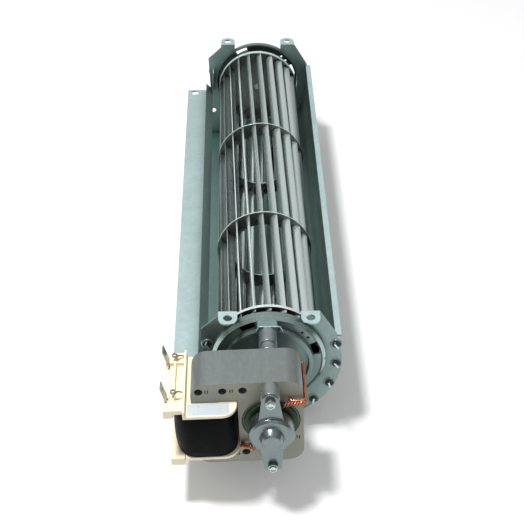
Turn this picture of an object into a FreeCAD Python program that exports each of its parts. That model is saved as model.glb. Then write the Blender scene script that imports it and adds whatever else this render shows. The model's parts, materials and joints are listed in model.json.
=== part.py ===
import FreeCAD, Part
import math
import os
import Sketcher

# Cross flow fan: a long drum impeller between two pressed end plates, with a scroll sheet behind
# it, a tongue sheet before the outlet on the left, and a C-frame motor on the near end plate.
# Millimetres. X points right and Z up. The impeller axis runs along Y, away from the motor.
# The origin is the centre of the four mounting ear holes, level with the top of the ears.

# Driving sizes: name, value and meaning. Lengths are in millimetres and angles in degrees.
SIZES = [
    ("sheet", 1.0, "thickness of the galvanised housing sheet"),
    ("fit_gap", 0.05, "clearance between pieces that fit together"),
    ("ear_height", 31.0, "impeller axis to the top face of the ears"),
    ("ear_pitch", 46.0, "distance between the two ear holes of a plate"),
    ("ear_width", 10.6, "width of an ear"),
    ("ear_hole_reach", 5.7, "inner face of the plate to the ear hole"),
    ("ear_hole_radius", 2.5, "radius of the ear hole"),
    ("motor_end_gap", 5.0, "motor side plate to the impeller"),
    ("free_end_gap", 8.8, "impeller to the free side plate"),
    ("span_motor", 91.8, "first span of blades"),
    ("span_middle", 106.3, "second span of blades"),
    ("span_free", 106.6, "third span of blades"),
    ("plate_left", 38.3, "axis to the left edge of a plate, under its chamfer"),
    ("plate_waist", 37.0, "axis to the left edge of a plate, at its notch"),
    ("foot_left", 40.5, "axis to the left edge of the outlet foot"),
    ("foot_top", -3.5, "top of the outlet foot"),
    ("notch_drop", 3.1, "depth of the notch beside the outlet foot"),
    ("shoulder_low", 18.9, "lower end of the left chamfer"),
    ("shoulder_high", 28.4, "upper end of the left chamfer"),
    ("rim_rise", 12.9, "centre of the scroll up to the end of the round edge of a plate"),
    ("shoulder_in", 1.8, "right shoulder of a plate inside the end of its round edge"),
    ("shoulder_right_z", 14.2, "height of the right shoulder of a plate"),
    ("drain_x", -35.0, "small hole at the lower left of a plate, across"),
    ("drain_z", -27.2, "small hole at the lower left of a plate, height"),
    ("drain_radius", 2.0, "radius of the small hole at the lower left of a plate"),
    ("scroll_radius", 41.4, "middle of the scroll sheet"),
    ("scroll_x", -2.2, "centre of the scroll, across"),
    ("scroll_z", -6.75, "centre of the scroll, height"),
    ("scroll_top", 13.0, "top of the scroll sheet"),
    ("scroll_lean", 0.8, "how far the scroll wall leans in at its top"),
    ("scroll_lip", 3.0, "width of the flange on top of the scroll"),
    ("plate_rim", 3.2, "plate edge beyond the scroll"),
    ("floor_end", 41.0, "axis to the end of the outlet floor"),
    ("tab_width", 4.0, "width of a staking tab"),
    ("stake_first", -1.3, "direction of the first staking tab on the scroll"),
    ("stake_step", 22.0, "angle between the staking tabs"),
    ("stake_wall_z", 7.0, "height of the staking tab on the scroll wall"),
    ("tab_reach", 2.6, "how far a staking tab stands past the plate"),
    ("crest_x", -40.4, "crest of the tongue, across"),
    ("crest_z", -3.5, "crest of the tongue, height"),
    ("heel_x", -35.2, "free edge of the tongue, across"),
    ("heel_z", -8.2, "free edge of the tongue, height"),
    ("horn_x", -34.1, "top of the upright ends of the tongue, across"),
    ("horn_top", 10.4, "top of the upright ends of the tongue, height"),
    ("horn_length", 8.0, "length of the upright ends of the tongue"),
    ("horn_tab", 2.5, "top of an upright end to the middle of its staking tab"),
    ("flange_z", -10.5, "top of the outlet flange"),
    ("flange_left", 55.0, "axis to the outer edge of the outlet flange"),
    ("flange_reach", 3.25, "outlet flange past the inner face of a plate"),
    ("flange_hole_x", -49.4, "hole in the outlet flange, across"),
    ("flange_hole_inset", 4.4, "hole in the outlet flange to its end"),
    ("flange_hole_radius", 2.9, "radius of the hole in the outlet flange"),
    ("dish_radius", 32.7, "outer radius of the pressed dish"),
    ("dish_drop", 2.0, "impeller axis down to the middle of the pressed dish"),
    ("dish_depth", 5.4, "height of the dish rim over the inner face"),
    ("dish_bevel", 1.8, "bevel of the dish rim"),
    ("dish_step", 0.8, "step from the rim down to the ring face"),
    ("rim_width", 2.5, "width of the rim, from the outside of the dish to the ring face"),
    ("ring_width", 4.6, "width of the ring face"),
    ("lip_width", 2.4, "width of the raised lip"),
    ("lip_height", 8.4, "height of the raised lip over the inner face"),
    ("disc_height", 5.8, "height of the middle disc over the inner face"),
    ("plate_bore", 8.5, "hole in the middle of the motor side plate"),
    ("grommet_bore", 7.0, "hole for the grommet in the free side plate"),
    ("window_inset", 0.3, "window inside the lip edge of the ring face"),
    ("window_edge", 0.1, "window inside the rim edge of the ring face"),
    ("window_half_angle", 9.0, "half the angle of a window"),
    ("window_left", 115.5, "direction of the left windows"),
    ("window_right", 18.5, "direction of the right windows"),
    ("vent_radius", 0.9, "radius of a small hole"),
    ("pad_depth", 10.5, "height of a motor pad over the inner face"),
    ("pad_width", 11.6, "width of a motor pad"),
    ("pad_tall", 9.6, "height of a motor pad"),
    ("impeller_radius", 30.0, "outer radius of the impeller rings"),
    ("blade_outer", 29.3, "outer edge of a blade"),
    ("blade_inner", 22.2, "inner edge of a blade"),
    ("blade_lag", 6.5, "angle by which the inner edge trails"),
    ("blade_camber", 1.7, "camber of a blade"),
    ("blade_sheet", 0.5, "thickness of a blade"),
    ("blade_count", 21, "number of blades"),
    ("blade_lead", -2.9, "turn of the blades at the motor end"),
    ("blade_twist", 15.7, "twist from the first disc to the last"),
    ("slot_gap", 0.09, "clearance round a blade in its slot"),
    ("blade_tab", 2.2, "how far a blade stands past the end discs"),
    ("disc_sheet", 0.8, "thickness of the impeller discs and rings"),
    ("disc_rim", 2.0, "width of the turned rim of an end disc"),
    ("ring_bore", 20.4, "inner radius of an impeller ring"),
    ("shaft_radius", 3.0, "radius of the motor shaft"),
    ("shaft_run", 0.04, "running clearance of a shaft in its bush"),
    ("hub_radius", 8.0, "radius of the drive hub"),
    ("hub_flange", 14.0, "radius of the flange of the drive hub"),
    ("hub_length", 12.0, "drive hub inside the impeller"),
    ("hub_proud", 2.5, "drive hub outside the impeller"),
    ("stub_flange", 10.0, "radius of the flange of the stub shaft"),
    ("stub_radius", 2.5, "radius of the stub shaft"),
    ("motor_turn", 2.5, "turn of the motor about the impeller axis"),
    ("bolt_spread", 24.0, "axis to a motor bolt"),
    ("bolt_radius", 2.0, "radius of a motor bolt"),
    ("bolt_hole", 2.2, "radius of the holes for the motor bolts"),
    ("bolt_head_radius", 2.8, "radius of a bolt head"),
    ("bolt_head_height", 2.3, "height of a bolt head"),
    ("nut_flat", 3.5, "half the width across flats of a nut"),
    ("nut_height", 3.0, "height of a nut"),
    ("sleeve_radius", 5.0, "radius of the spacer sleeves"),
    ("plate_sleeve", 11.0, "spacer between the plate and the rear bracket"),
    ("rear_sleeve", 5.0, "spacer between the rear bracket and the core"),
    ("stack_depth", 26.0, "thickness of the laminated core"),
    ("front_sleeve", 9.0, "spacer between the core and the front bracket"),
    ("strap", 1.5, "thickness of the bearing brackets"),
    ("core_left", 42.0, "axis to the left edge of the core"),
    ("core_right", 17.5, "axis to the right edge of the core"),
    ("core_top", 28.6, "top of the core"),
    ("core_bottom", -31.0, "bottom of the core"),
    ("core_corner", 9.0, "corner radius of the core"),
    ("window_top", 15.4, "top of the core window"),
    ("window_bottom", -17.5, "bottom of the core window"),
    ("window_side", 17.5, "axis to the right side of the core window"),
    ("leg_right", 27.0, "axis to the right edge of the coil leg"),
    ("bore_radius", 15.7, "radius of the rotor bore"),
    ("air_gap", 0.45, "gap between the rotor and the core"),
    ("rivet_hole", 2.2, "radius of the spare holes of the core"),
    ("rivet_top", 23.0, "height of the upper row of spare holes"),
    ("rivet_bottom", -23.5, "height of the lower row of spare holes"),
    ("rivet_near", 14.3, "axis to the nearest spare hole"),
    ("rivet_middle", 25.0, "axis to the middle spare hole"),
    ("rivet_far", 37.6, "axis to the furthest spare hole"),
    ("cage_inner", 8.0, "inner radius of the rotor end rings"),
    ("cage_height", 2.0, "height of the rotor end rings"),
    ("lug_radius", 4.8, "round end of a bracket lug"),
    ("arm_half", 6.7, "half the width of a bracket arm at the cup"),
    ("cup_radius", 12.2, "outer radius of a bearing cup"),
    ("cup_wall", 1.2, "wall of a bearing cup"),
    ("cup_bevel", 1.2, "bevel of a bearing cup"),
    ("cup_front", 2.2, "cup in front of the lugs"),
    ("cup_back", 5.4, "front cup behind its lugs"),
    ("rear_cup_back", 2.4, "rear cup past its lugs towards the core"),
    ("nose_base", 6.8, "radius of the nose where it leaves the cup"),
    ("nose_tip", 5.3, "radius of the nose at its end"),
    ("nose_height", 4.4, "height of the nose"),
    ("nose_chamfer", 0.7, "edge of the nose"),
    ("bush_radius", 6.0, "outer radius of the bearing bushes"),
    ("bush_length", 5.4, "length of the bearing bushes"),
    ("felt_length", 3.6, "thickness of the oil felts"),
    ("retainer_sheet", 0.6, "thickness of a bush retainer"),
    ("coil_left", 51.0, "axis to the left side of the winding"),
    ("coil_right", 18.3, "axis to the right side of the winding"),
    ("coil_overhang", 10.3, "winding past the faces of the core"),
    ("coil_corner", 10.0, "corner radius of the winding"),
    ("bobbin_wall", 1.0, "wall of the bobbin tube"),
    ("flange_thick", 1.8, "thickness of the bobbin flanges"),
    ("bobbin_left", 45.0, "axis to the left edge of the bobbin flanges"),
    ("bobbin_right", 17.7, "axis to the right edge of the bobbin flanges"),
    ("bobbin_corner", 8.0, "corner radius of the bobbin flanges"),
    ("fence_top", 18.6, "top of the bobbin fence"),
    ("fence_wall", 1.2, "thickness of the bobbin fence"),
    ("block_left", 56.6, "axis to the left side of the terminal block"),
    ("block_bottom", 11.0, "underside of the beam of the terminal block"),
    ("block_rise", 1.2, "terminal block over the bobbin flange"),
    ("block_front", 6.4, "terminal block in front of the core"),
    ("block_back", 12.5, "terminal block behind the core"),
    ("block_rib", 1.2, "ribs of the terminal block"),
    ("block_end", 8.0, "solid ends of the terminal block"),
    ("block_notch", 2.6, "depth of the pockets of the terminal block"),
    ("foot_left_x", 54.7, "axis to the left side of the bobbin foot"),
    ("foot_width", 7.7, "width of the bobbin foot"),
    ("foot_height", 5.0, "height of the bobbin foot"),
    ("spade_sheet", 0.8, "thickness of a spade terminal"),
    ("spade_width", 6.3, "width of a spade terminal"),
    ("spade_height", 9.5, "spade terminal over the block"),
    ("spade_lean", 14.0, "lean of a spade terminal"),
    ("spade_hole", 0.9, "radius of the hole of a spade terminal"),
    ("spade_depth", 3.0, "spade terminal inside the block"),
    ("label_sheet", 0.2, "thickness of the label"),
    ("shade_wire", 1.0, "radius of the shading coils"),
    ("shade_inner", 10.4, "axis to the inner leg of a shading coil"),
    ("shade_height", 15.8, "axis to the plane of a shading coil"),
    ("shade_span", 8.2, "width of the upper shading coil"),
    ("shade_span_low", 5.6, "width of the lower shading coil"),
    ("shade_overhang", 2.0, "shading coil past the faces of the core"),
    ("shade_bend", 2.0, "bend radius of the shading coils"),
]

LEFT = 1
RIGHT = -1

doc = FreeCAD.newDocument("CrossFlowFan")
sheet = doc.addObject("Spreadsheet::Sheet", "Sizes")


class Size:
    """A length, angle or count that knows its number and the expression that gives it."""

    def __init__(self, number, text):
        self.number = number
        self.text = text

    def __add__(self, other):
        other = as_size(other)
        return Size(self.number + other.number, f"({self.text} + {other.text})")

    def __sub__(self, other):
        other = as_size(other)
        return Size(self.number - other.number, f"({self.text} - {other.text})")

    def __mul__(self, other):
        other = as_size(other)
        return Size(self.number * other.number, f"({self.text} * {other.text})")

    def __truediv__(self, other):
        other = as_size(other)
        return Size(self.number / other.number, f"({self.text} / {other.text})")

    def __radd__(self, other):
        return as_size(other) + self

    def __rsub__(self, other):
        return as_size(other) - self

    def __rmul__(self, other):
        return as_size(other) * self

    def __neg__(self):
        return self * -1


def as_size(value):
    """A plain number becomes a size whose expression is that number."""
    if isinstance(value, Size):
        return value
    return Size(float(value), f"({float(value)!r})")


def root(value):
    return Size(math.sqrt(value.number), f"sqrt({value.text})")


def sine(angle):
    angle = as_size(angle)
    return Size(math.sin(math.radians(angle.number)), f"sin({angle.text})")


def cosine(angle):
    angle = as_size(angle)
    return Size(math.cos(math.radians(angle.number)), f"cos({angle.text})")


def fill_sheet():
    """Write the driving sizes into the spreadsheet, and return them by name."""
    named = {}
    for row, (name, value, meaning) in enumerate(SIZES, start=1):
        sheet.set(f"A{row}", name)
        sheet.set(f"B{row}", str(value))
        sheet.set(f"C{row}", meaning)
        sheet.setAlias(f"B{row}", name)
        named[name] = Size(float(value), f"Sizes.{name}")
    doc.recompute()
    return named


class Named:
    """The driving sizes as attributes."""

    def __init__(self, named):
        self.__dict__.update(named)


s = Named(fill_sheet())
sub_parts = {}


def bind(item, path, value):
    """Tie one property of an object to its size."""
    item.setExpression(path, as_size(value).text)


def new_body(label, x=0, y=0, z=0, turn=None):
    """A body whose own origin is at x and z from the impeller axis, and at y along it. The
    pieces that stand with the motor are turned about that axis."""
    body = doc.addObject("PartDesign::Body", label)
    body.Label = label
    x = as_size(x)
    z = as_size(z)
    if turn is not None:
        axis = FreeCAD.Vector(0, -1, 0)
        body.Placement = FreeCAD.Placement(FreeCAD.Vector(), FreeCAD.Rotation(axis, turn.number))
        bind(body, "Placement.Rotation.Angle", turn)
        x, z = x * cosine(turn) - z * sine(turn), x * sine(turn) + z * cosine(turn)
    bind(body, "Placement.Base.x", x)
    bind(body, "Placement.Base.y", y)
    bind(body, "Placement.Base.z", z - s.ear_height)
    return body


def keep(body):
    """Hand the piece in under its label."""
    sub_parts[body.Label] = body
    return body


def origin_feature(body, role):
    return next(item for item in body.Origin.OriginFeatures if item.Role == role)


def hold_point(sketch, edge, end, x, y):
    """Fix one point of a sketch by its two coordinates."""
    for kind, value in (("DistanceX", x), ("DistanceY", y)):
        row = sketch.addConstraint(Sketcher.Constraint(kind, edge, end, value.number))
        bind(sketch, f"Constraints[{row}]", value)


def hold_radius(sketch, edge, radius):
    row = sketch.addConstraint(Sketcher.Constraint("Radius", edge, radius.number))
    bind(sketch, f"Constraints[{row}]", radius)


def arc_middle(start, end, radius, turn):
    """The middle point of the shorter arc from start to end that turns left or right."""
    chord = end - start
    rise = radius - math.sqrt(max(radius ** 2 - chord.Length ** 2 / 4, 0))
    side = FreeCAD.Vector(-chord.y, chord.x, 0).normalize()
    return (start + end) * 0.5 - side * rise * turn


def add_outline(sketch, corners):
    """Draw a closed outline. A corner is x and y, and may add LEFT or RIGHT and a radius,
    which make the edge that arrives there an arc that turns that way."""
    first = sketch.GeometryCount
    points = []
    for corner in corners:
        points.append(FreeCAD.Vector(as_size(corner[0]).number, as_size(corner[1]).number, 0))
    count = len(corners)
    ends = []
    for index in range(count):
        after = (index + 1) % count
        corner = corners[after]
        if len(corner) == 2:
            edge = Part.LineSegment(points[index], points[after])
            ends.append((1, 2))
        else:
            middle = arc_middle(points[index], points[after], as_size(corner[3]).number, corner[2])
            edge = Part.Arc(points[index], middle, points[after])
            ends.append((1, 2) if corner[2] == LEFT else (2, 1))
        sketch.addGeometry(edge, False)
    for index in range(count):
        after = (index + 1) % count
        joined = ("Coincident", first + index, ends[index][1], first + after, ends[after][0])
        sketch.addConstraint(Sketcher.Constraint(*joined))
    for index, corner in enumerate(corners):
        hold_point(sketch, first + index, ends[index][0], as_size(corner[0]), as_size(corner[1]))
    for index in range(count):
        corner = corners[(index + 1) % count]
        if len(corner) == 4:
            hold_radius(sketch, first + index, as_size(corner[3]))


def add_circle(sketch, x, y, radius):
    centre = FreeCAD.Vector(as_size(x).number, as_size(y).number, 0)
    normal = FreeCAD.Vector(0, 0, 1)
    edge = sketch.addGeometry(Part.Circle(centre, normal, as_size(radius).number), False)
    hold_point(sketch, edge, 3, as_size(x), as_size(y))
    hold_radius(sketch, edge, as_size(radius))


def draw(body, plane, height=0, turn=0, outlines=(), circles=()):
    """A sketch on one of the body's own planes, moved along its normal and turned in it."""
    sketch = body.newObject("Sketcher::SketchObject", f"{body.Name}_sketch")
    sketch.AttachmentSupport = [(origin_feature(body, plane), "")]
    sketch.MapMode = "FlatFace"
    bind(sketch, "AttachmentOffset.Base.z", height)
    bind(sketch, "AttachmentOffset.Rotation.Angle", turn)
    for corners in outlines:
        add_outline(sketch, corners)
    for circle in circles:
        add_circle(sketch, *circle)
    return sketch


def extrude_y(body, kind, start, length, turn=0, outlines=(), circles=()):
    """Pad or pocket from y = start towards +Y. Outlines are in X and Z about the axis."""
    sketch = draw(body, "XZ_Plane", -as_size(start), turn, outlines, circles)
    feature = body.newObject(f"PartDesign::{kind}", f"{body.Name}_{kind}")
    feature.Profile = sketch
    feature.Reversed = kind == "Pad"
    bind(feature, "Length", length)
    return feature


def extrude_z(body, kind, start, length, outlines=(), circles=()):
    """Pad or pocket from z = start towards +Z. Outlines are in X and Y."""
    sketch = draw(body, "XY_Plane", start, 0, outlines, circles)
    feature = body.newObject(f"PartDesign::{kind}", f"{body.Name}_{kind}")
    feature.Profile = sketch
    feature.Reversed = kind == "Pocket"
    bind(feature, "Length", length)
    return feature


def spin(body, kind, corners, height=0):
    """Revolution or groove about a line along Y at a height. Corners are radius and y."""
    sketch = draw(body, "XY_Plane", height, outlines=[corners])
    feature = body.newObject(f"PartDesign::{kind}", f"{body.Name}_{kind}")
    feature.Profile = sketch
    feature.ReferenceAxis = (sketch, ["V_Axis"])
    feature.Angle = 360
    return feature


def repeat_round(body, feature, count):
    """Repeat a feature evenly about the body's Y axis."""
    pattern = body.newObject("PartDesign::PolarPattern", f"{body.Name}_pattern")
    pattern.Originals = [feature]
    pattern.Axis = (origin_feature(body, "Y_Axis"), [""])
    pattern.Angle = 360
    bind(pattern, "Occurrences", count)
    body.Tip = pattern
    return pattern


def group(label, bodies):
    """Several separate solids of one kind in one node."""
    compound = doc.addObject("Part::Compound", label)
    compound.Label = label
    compound.Links = bodies
    return keep(compound)


def rectangle(left, low, right, high):
    return [(left, low), (right, low), (right, high), (left, high)]


def rounded_rectangle(left, low, right, high, radius):
    """A rectangle with four round corners, drawn to the left."""
    return [
        (left + radius, low),
        (right - radius, low),
        (right, low + radius, LEFT, radius),
        (right, high - radius),
        (right - radius, high, LEFT, radius),
        (left + radius, high),
        (left, high - radius, LEFT, radius),
        (left, low + radius),
        (left + radius, low, LEFT, radius),
    ][1:]


# Places along the axis. The two end plates stand at equal distances from the origin.
drum_length = s.span_motor + s.span_middle + s.span_free
half_length = (s.motor_end_gap + drum_length + s.free_end_gap) / 2
drum_start = s.motor_end_gap - half_length
drum_end = drum_start + drum_length
ring_motor_y = drum_start + s.span_motor
ring_free_y = ring_motor_y + s.span_middle

# Places along the motor, from the motor side plate towards the viewer.
pad_y = -half_length - s.pad_depth
rear_strap_y = pad_y - s.plate_sleeve
rear_sleeve_y = rear_strap_y - s.strap
stack_back = rear_sleeve_y - s.rear_sleeve
stack_front = stack_back - s.stack_depth
front_strap_y = stack_front - s.front_sleeve
bolt_head_y = front_strap_y - s.strap

floor_z = s.scroll_z - s.scroll_radius
plate_radius = s.scroll_radius + s.plate_rim
foot_z = s.scroll_z - plate_radius
scroll_right = s.scroll_x + s.scroll_radius
ear_half = s.ear_pitch / 2
ear_in = ear_half - s.ear_width / 2
ear_out = ear_half + s.ear_width / 2

# Radii of the pressed dish, from its outside inwards.
ring_outer = s.dish_radius - s.rim_width
lip_outer = ring_outer - s.ring_width
lip_inner = lip_outer - s.lip_width


def outward(side, near, far):
    """Start and length of a slice between two heights over the inner face of an end plate."""
    if side > 0:
        return half_length + near, as_size(far) - near
    return -half_length - far, as_size(far) - near


def plate_outline():
    """The end plate seen from the motor, from the left ear round to the right and back."""
    ear_root = root(s.dish_radius * s.dish_radius - ear_in * ear_in) - s.dish_drop
    arc_x = s.scroll_x + root(plate_radius * plate_radius - s.rim_rise * s.rim_rise)
    return [
        (-ear_out, s.ear_height),
        (-ear_out, s.shoulder_high),
        (-s.plate_left, s.shoulder_low),
        (-s.plate_waist, s.foot_top - s.notch_drop),
        (-s.foot_left, s.foot_top),
        (-s.foot_left, foot_z),
        (s.scroll_x, foot_z),
        (s.scroll_x + plate_radius, s.scroll_z, LEFT, plate_radius),
        (arc_x, s.scroll_z + s.rim_rise, LEFT, plate_radius),
        (arc_x - s.shoulder_in, s.shoulder_right_z),
        (ear_out, s.ear_height),
        (ear_in, s.ear_height),
        (ear_in, ear_root),
        (0, s.dish_radius - s.dish_drop, LEFT, s.dish_radius),
        (-ear_in, ear_root, LEFT, s.dish_radius),
        (-ear_in, s.ear_height),
    ]


def dish_outer(side):
    """Outside of the pressed dish as radius and y: rim, ring face, raised lip, middle disc."""
    shape = [
        (0, 0),
        (s.dish_radius, 0),
        (s.dish_radius, s.dish_depth - s.dish_bevel),
        (s.dish_radius - s.dish_bevel, s.dish_depth),
        (ring_outer, s.dish_depth - s.dish_step),
        (lip_outer, s.dish_depth - s.dish_step),
        (lip_outer, s.lip_height),
        (lip_inner, s.lip_height),
        (lip_inner - s.sheet / 2, s.disc_height),
        (0, s.disc_height),
    ]
    return [(radius, (half_length + height) * side) for radius, height in shape]


def dish_inner(side):
    """Inside of the pressed dish, one sheet thickness below its outside."""
    bevel = s.dish_bevel - s.sheet * (2 - math.sqrt(2))
    ring_low = s.dish_depth - s.dish_step - s.sheet
    shape = [
        (0, 0),
        (s.dish_radius - s.sheet, 0),
        (s.dish_radius - s.sheet, s.dish_depth - s.sheet - bevel),
        (s.dish_radius - s.sheet - bevel, s.dish_depth - s.sheet),
        (ring_outer, ring_low),
        (lip_inner + s.sheet / 2, ring_low),
        (lip_inner - s.sheet, s.disc_height - s.sheet),
        (0, s.disc_height - s.sheet),
    ]
    return [(radius, (half_length + height) * side) for radius, height in shape]


def window_outline(direction):
    """One window of the ring face: two radial sides, an outer arc and a straight inner side."""
    low = direction - s.window_half_angle
    high = direction + s.window_half_angle
    inner = lip_outer + s.window_inset
    outer = ring_outer - s.window_edge
    return [
        (inner * cosine(low), inner * sine(low) - s.dish_drop),
        (outer * cosine(low), outer * sine(low) - s.dish_drop),
        (outer * cosine(high), outer * sine(high) - s.dish_drop, LEFT, outer),
        (inner * cosine(high), inner * sine(high) - s.dish_drop),
    ]


def staking_places():
    """Tabs of the scroll sheet: x, z and direction across the sheet there."""
    rise = (s.stake_wall_z - s.scroll_z) / (s.scroll_top - s.scroll_z)
    places = [(scroll_right - s.scroll_lean * rise, s.stake_wall_z, as_size(0))]
    for number in range(3):
        angle = s.stake_first - s.stake_step * number
        places.append((s.scroll_x + s.scroll_radius * cosine(angle),
                       s.scroll_z + s.scroll_radius * sine(angle), angle))
    return places


def end_plate(label, side, bore, with_pads):
    """A pressed end plate with two ears, a dish with windows, and slots for the staking tabs."""
    body = new_body(label)
    extrude_y(body, "Pad", *outward(side, 0, s.sheet), outlines=[plate_outline()])
    for sign in (-1, 1):
        hole_y = (half_length + s.ear_hole_reach) * side
        turn = LEFT if side > 0 else RIGHT
        ear = [
            (ear_half * sign - s.ear_width / 2, half_length * side),
            (ear_half * sign + s.ear_width / 2, half_length * side),
            (ear_half * sign + s.ear_width / 2, hole_y),
            (ear_half * sign, hole_y + s.ear_width / 2 * side, turn, s.ear_width / 2),
            (ear_half * sign - s.ear_width / 2, hole_y, turn, s.ear_width / 2),
        ]
        extrude_z(body, "Pad", s.ear_height - s.sheet, s.sheet, outlines=[ear])
        hole = (ear_half * sign, hole_y, s.ear_hole_radius)
        extrude_z(body, "Pocket", s.ear_height - s.sheet, s.sheet, circles=[hole])
    spin(body, "Revolution", dish_outer(side), -s.dish_drop)
    if with_pads:
        for sign in (-1, 1):
            middle = s.bolt_spread * sign
            pad = rounded_rectangle(-s.pad_width / 2, middle - s.pad_tall / 2,
                                    s.pad_width / 2, middle + s.pad_tall / 2, s.sheet)
            extrude_y(body, "Pad", *outward(side, s.sheet, s.pad_depth), s.motor_turn,
                      outlines=[pad])
    spin(body, "Groove", dish_inner(side), -s.dish_drop)
    if with_pads:
        for sign in (-1, 1):
            middle = s.bolt_spread * sign
            hollow = rectangle(s.sheet - s.pad_width / 2, middle - s.pad_tall / 2 + s.sheet,
                               s.pad_width / 2 - s.sheet, middle + s.pad_tall / 2 - s.sheet)
            extrude_y(body, "Pocket", *outward(side, 0, s.pad_depth - s.sheet), s.motor_turn,
                      outlines=[hollow])
            hole = (0, middle, s.bolt_hole)
            extrude_y(body, "Pocket", *outward(side, 0, s.pad_depth), s.motor_turn, circles=[hole])
    extrude_y(body, "Pocket", *outward(side, 0, s.lip_height), circles=[(0, 0, bore)])
    windows = []
    for direction in (s.window_left, s.window_right):
        windows.append(window_outline(direction))
        windows.append(window_outline(direction + 180))
    extrude_y(body, "Pocket", *outward(side, 0, s.dish_depth), outlines=windows)
    vents = [(s.drain_x, s.drain_z, s.drain_radius)]
    vent_ring = lip_outer + s.ring_width / 2
    for angle in (38, 48):
        vents.append((vent_ring * cosine(angle), vent_ring * sine(angle) - s.dish_drop,
                      s.vent_radius))
    extrude_y(body, "Pocket", *outward(side, 0, s.dish_depth), circles=vents)
    slots = [slot_outline(*place, s.fit_gap) for place in staking_places()]
    slots.append(slot_outline(*tongue_tab_place(), s.fit_gap))
    extrude_y(body, "Pocket", *outward(side, 0, s.sheet), outlines=slots)
    return keep(body)


def slot_outline(x, z, angle, gap):
    """A tab one sheet thick, or its slot with a gap all round. The angle is across the tab."""
    across = s.sheet / 2 + gap
    along = s.tab_width / 2 + gap
    corners = []
    for one, two in ((1, -1), (1, 1), (-1, 1), (-1, -1)):
        corners.append((x + across * one * cosine(angle) - along * two * sine(angle),
                        z + across * one * sine(angle) + along * two * cosine(angle)))
    return corners


def tongue_angle():
    """Direction across the upright ends of the tongue, from their rise and run."""
    run = s.horn_x - s.heel_x
    rise = s.horn_top - s.heel_z
    number = -math.degrees(math.atan2(run.number, rise.number))
    return Size(number, f"(-atan2({run.text}; {rise.text}) / 1 deg)")


def tongue_tab_place():
    """The tab on an upright end of the tongue: x, z and the direction across it."""
    angle = tongue_angle()
    return (s.horn_x + s.horn_tab * sine(angle) - s.sheet / 2 * cosine(angle),
            s.horn_top - s.horn_tab * cosine(angle) - s.sheet / 2 * sine(angle),
            angle)


def add_tabs(body, places):
    """Staking tabs at both ends of a housing sheet, through the slots of the end plates."""
    reach = s.sheet + s.tab_reach
    for x, z, angle in places:
        tab = slot_outline(x, z, angle, 0)
        for start in (-half_length - reach, half_length - s.tab_width):
            extrude_y(body, "Pad", start, reach + s.tab_width, outlines=[tab])


def scroll_sheet():
    """Back wall of the housing: flange, leaning wall, round scroll and flat outlet floor."""
    body = new_body("scroll_sheet")
    half = s.sheet / 2
    outer = s.scroll_radius + half
    inner = s.scroll_radius - half
    top_x = scroll_right - s.scroll_lean
    profile = [
        (top_x - half, s.scroll_top),
        (scroll_right - half, s.scroll_z),
        (s.scroll_x, floor_z + half, RIGHT, inner),
        (-s.floor_end, floor_z + half),
        (-s.floor_end, floor_z - half),
        (s.scroll_x, floor_z - half),
        (scroll_right + half, s.scroll_z, LEFT, outer),
        (top_x + half, s.scroll_top - s.sheet),
        (top_x + s.scroll_lip, s.scroll_top - s.sheet),
        (top_x + s.scroll_lip, s.scroll_top),
    ]
    extrude_y(body, "Pad", -half_length + s.fit_gap, (half_length - s.fit_gap) * 2,
              outlines=[profile])
    add_tabs(body, staking_places())
    return keep(body)


def tongue_sheet():
    """Outlet flange, riser and slope of the tongue. The flange runs on past both plates with a
    hole near each end, and the slope ends in an upright piece at each plate."""
    body = new_body("tongue_sheet")
    inside = half_length - s.fit_gap
    fall = (s.crest_z - s.heel_z) / (s.heel_x - s.crest_x)
    below = s.sheet * root(1 + fall * fall)
    profile = [
        (-s.flange_left, s.flange_z - s.sheet),
        (s.crest_x + s.sheet, s.flange_z - s.sheet),
        (s.crest_x + s.sheet, s.crest_z - fall * s.sheet - below),
        (s.heel_x, s.heel_z - below),
        (s.heel_x, s.heel_z),
        (s.crest_x, s.crest_z),
        (s.crest_x, s.flange_z),
        (-s.flange_left, s.flange_z),
    ]
    extrude_y(body, "Pad", -inside, inside * 2, outlines=[profile])
    flange_end = half_length + s.flange_reach
    strip = rectangle(-s.flange_left, s.flange_z - s.sheet, -s.foot_left - s.fit_gap, s.flange_z)
    extrude_y(body, "Pad", -flange_end, flange_end * 2, outlines=[strip])
    angle = tongue_angle()
    across_x = s.sheet * cosine(angle)
    across_z = s.sheet * sine(angle)
    horn = [
        (s.heel_x, s.heel_z),
        (s.horn_x, s.horn_top),
        (s.horn_x - across_x, s.horn_top - across_z),
        (s.heel_x - across_x, s.heel_z - across_z),
    ]
    for start in (-inside, inside - s.horn_length):
        extrude_y(body, "Pad", start, s.horn_length, outlines=[horn])
    holes = []
    for sign in (-1, 1):
        hole_y = (flange_end - s.flange_hole_inset) * sign
        holes.append((s.flange_hole_x, hole_y, s.flange_hole_radius))
    extrude_z(body, "Pocket", s.flange_z - s.sheet, s.sheet, circles=holes)
    add_tabs(body, [tongue_tab_place()])
    return keep(body)


class BladeChord:
    """The straight line from the tip to the foot of a blade that points up."""

    def __init__(self):
        self.run_x = -s.blade_inner * sine(s.blade_lag)
        self.run_z = s.blade_inner * cosine(s.blade_lag) - s.blade_outer
        self.length = root(self.run_x * self.run_x + self.run_z * self.run_z)
        square = self.length * self.length / 4 + s.blade_camber * s.blade_camber
        self.bend = square / (s.blade_camber * 2)

    def at(self, along, across):
        """A point at a distance along the line and a distance across it, to the hollow's back."""
        return (along * self.run_x / self.length + across * self.run_z / self.length,
                s.blade_outer + along * self.run_z / self.length
                - across * self.run_x / self.length)

    def rise(self, along):
        """Height of the curved blade over the line."""
        middle = along - self.length / 2
        return root(self.bend * self.bend - middle * middle) - self.bend + s.blade_camber


chord = BladeChord()


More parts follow.
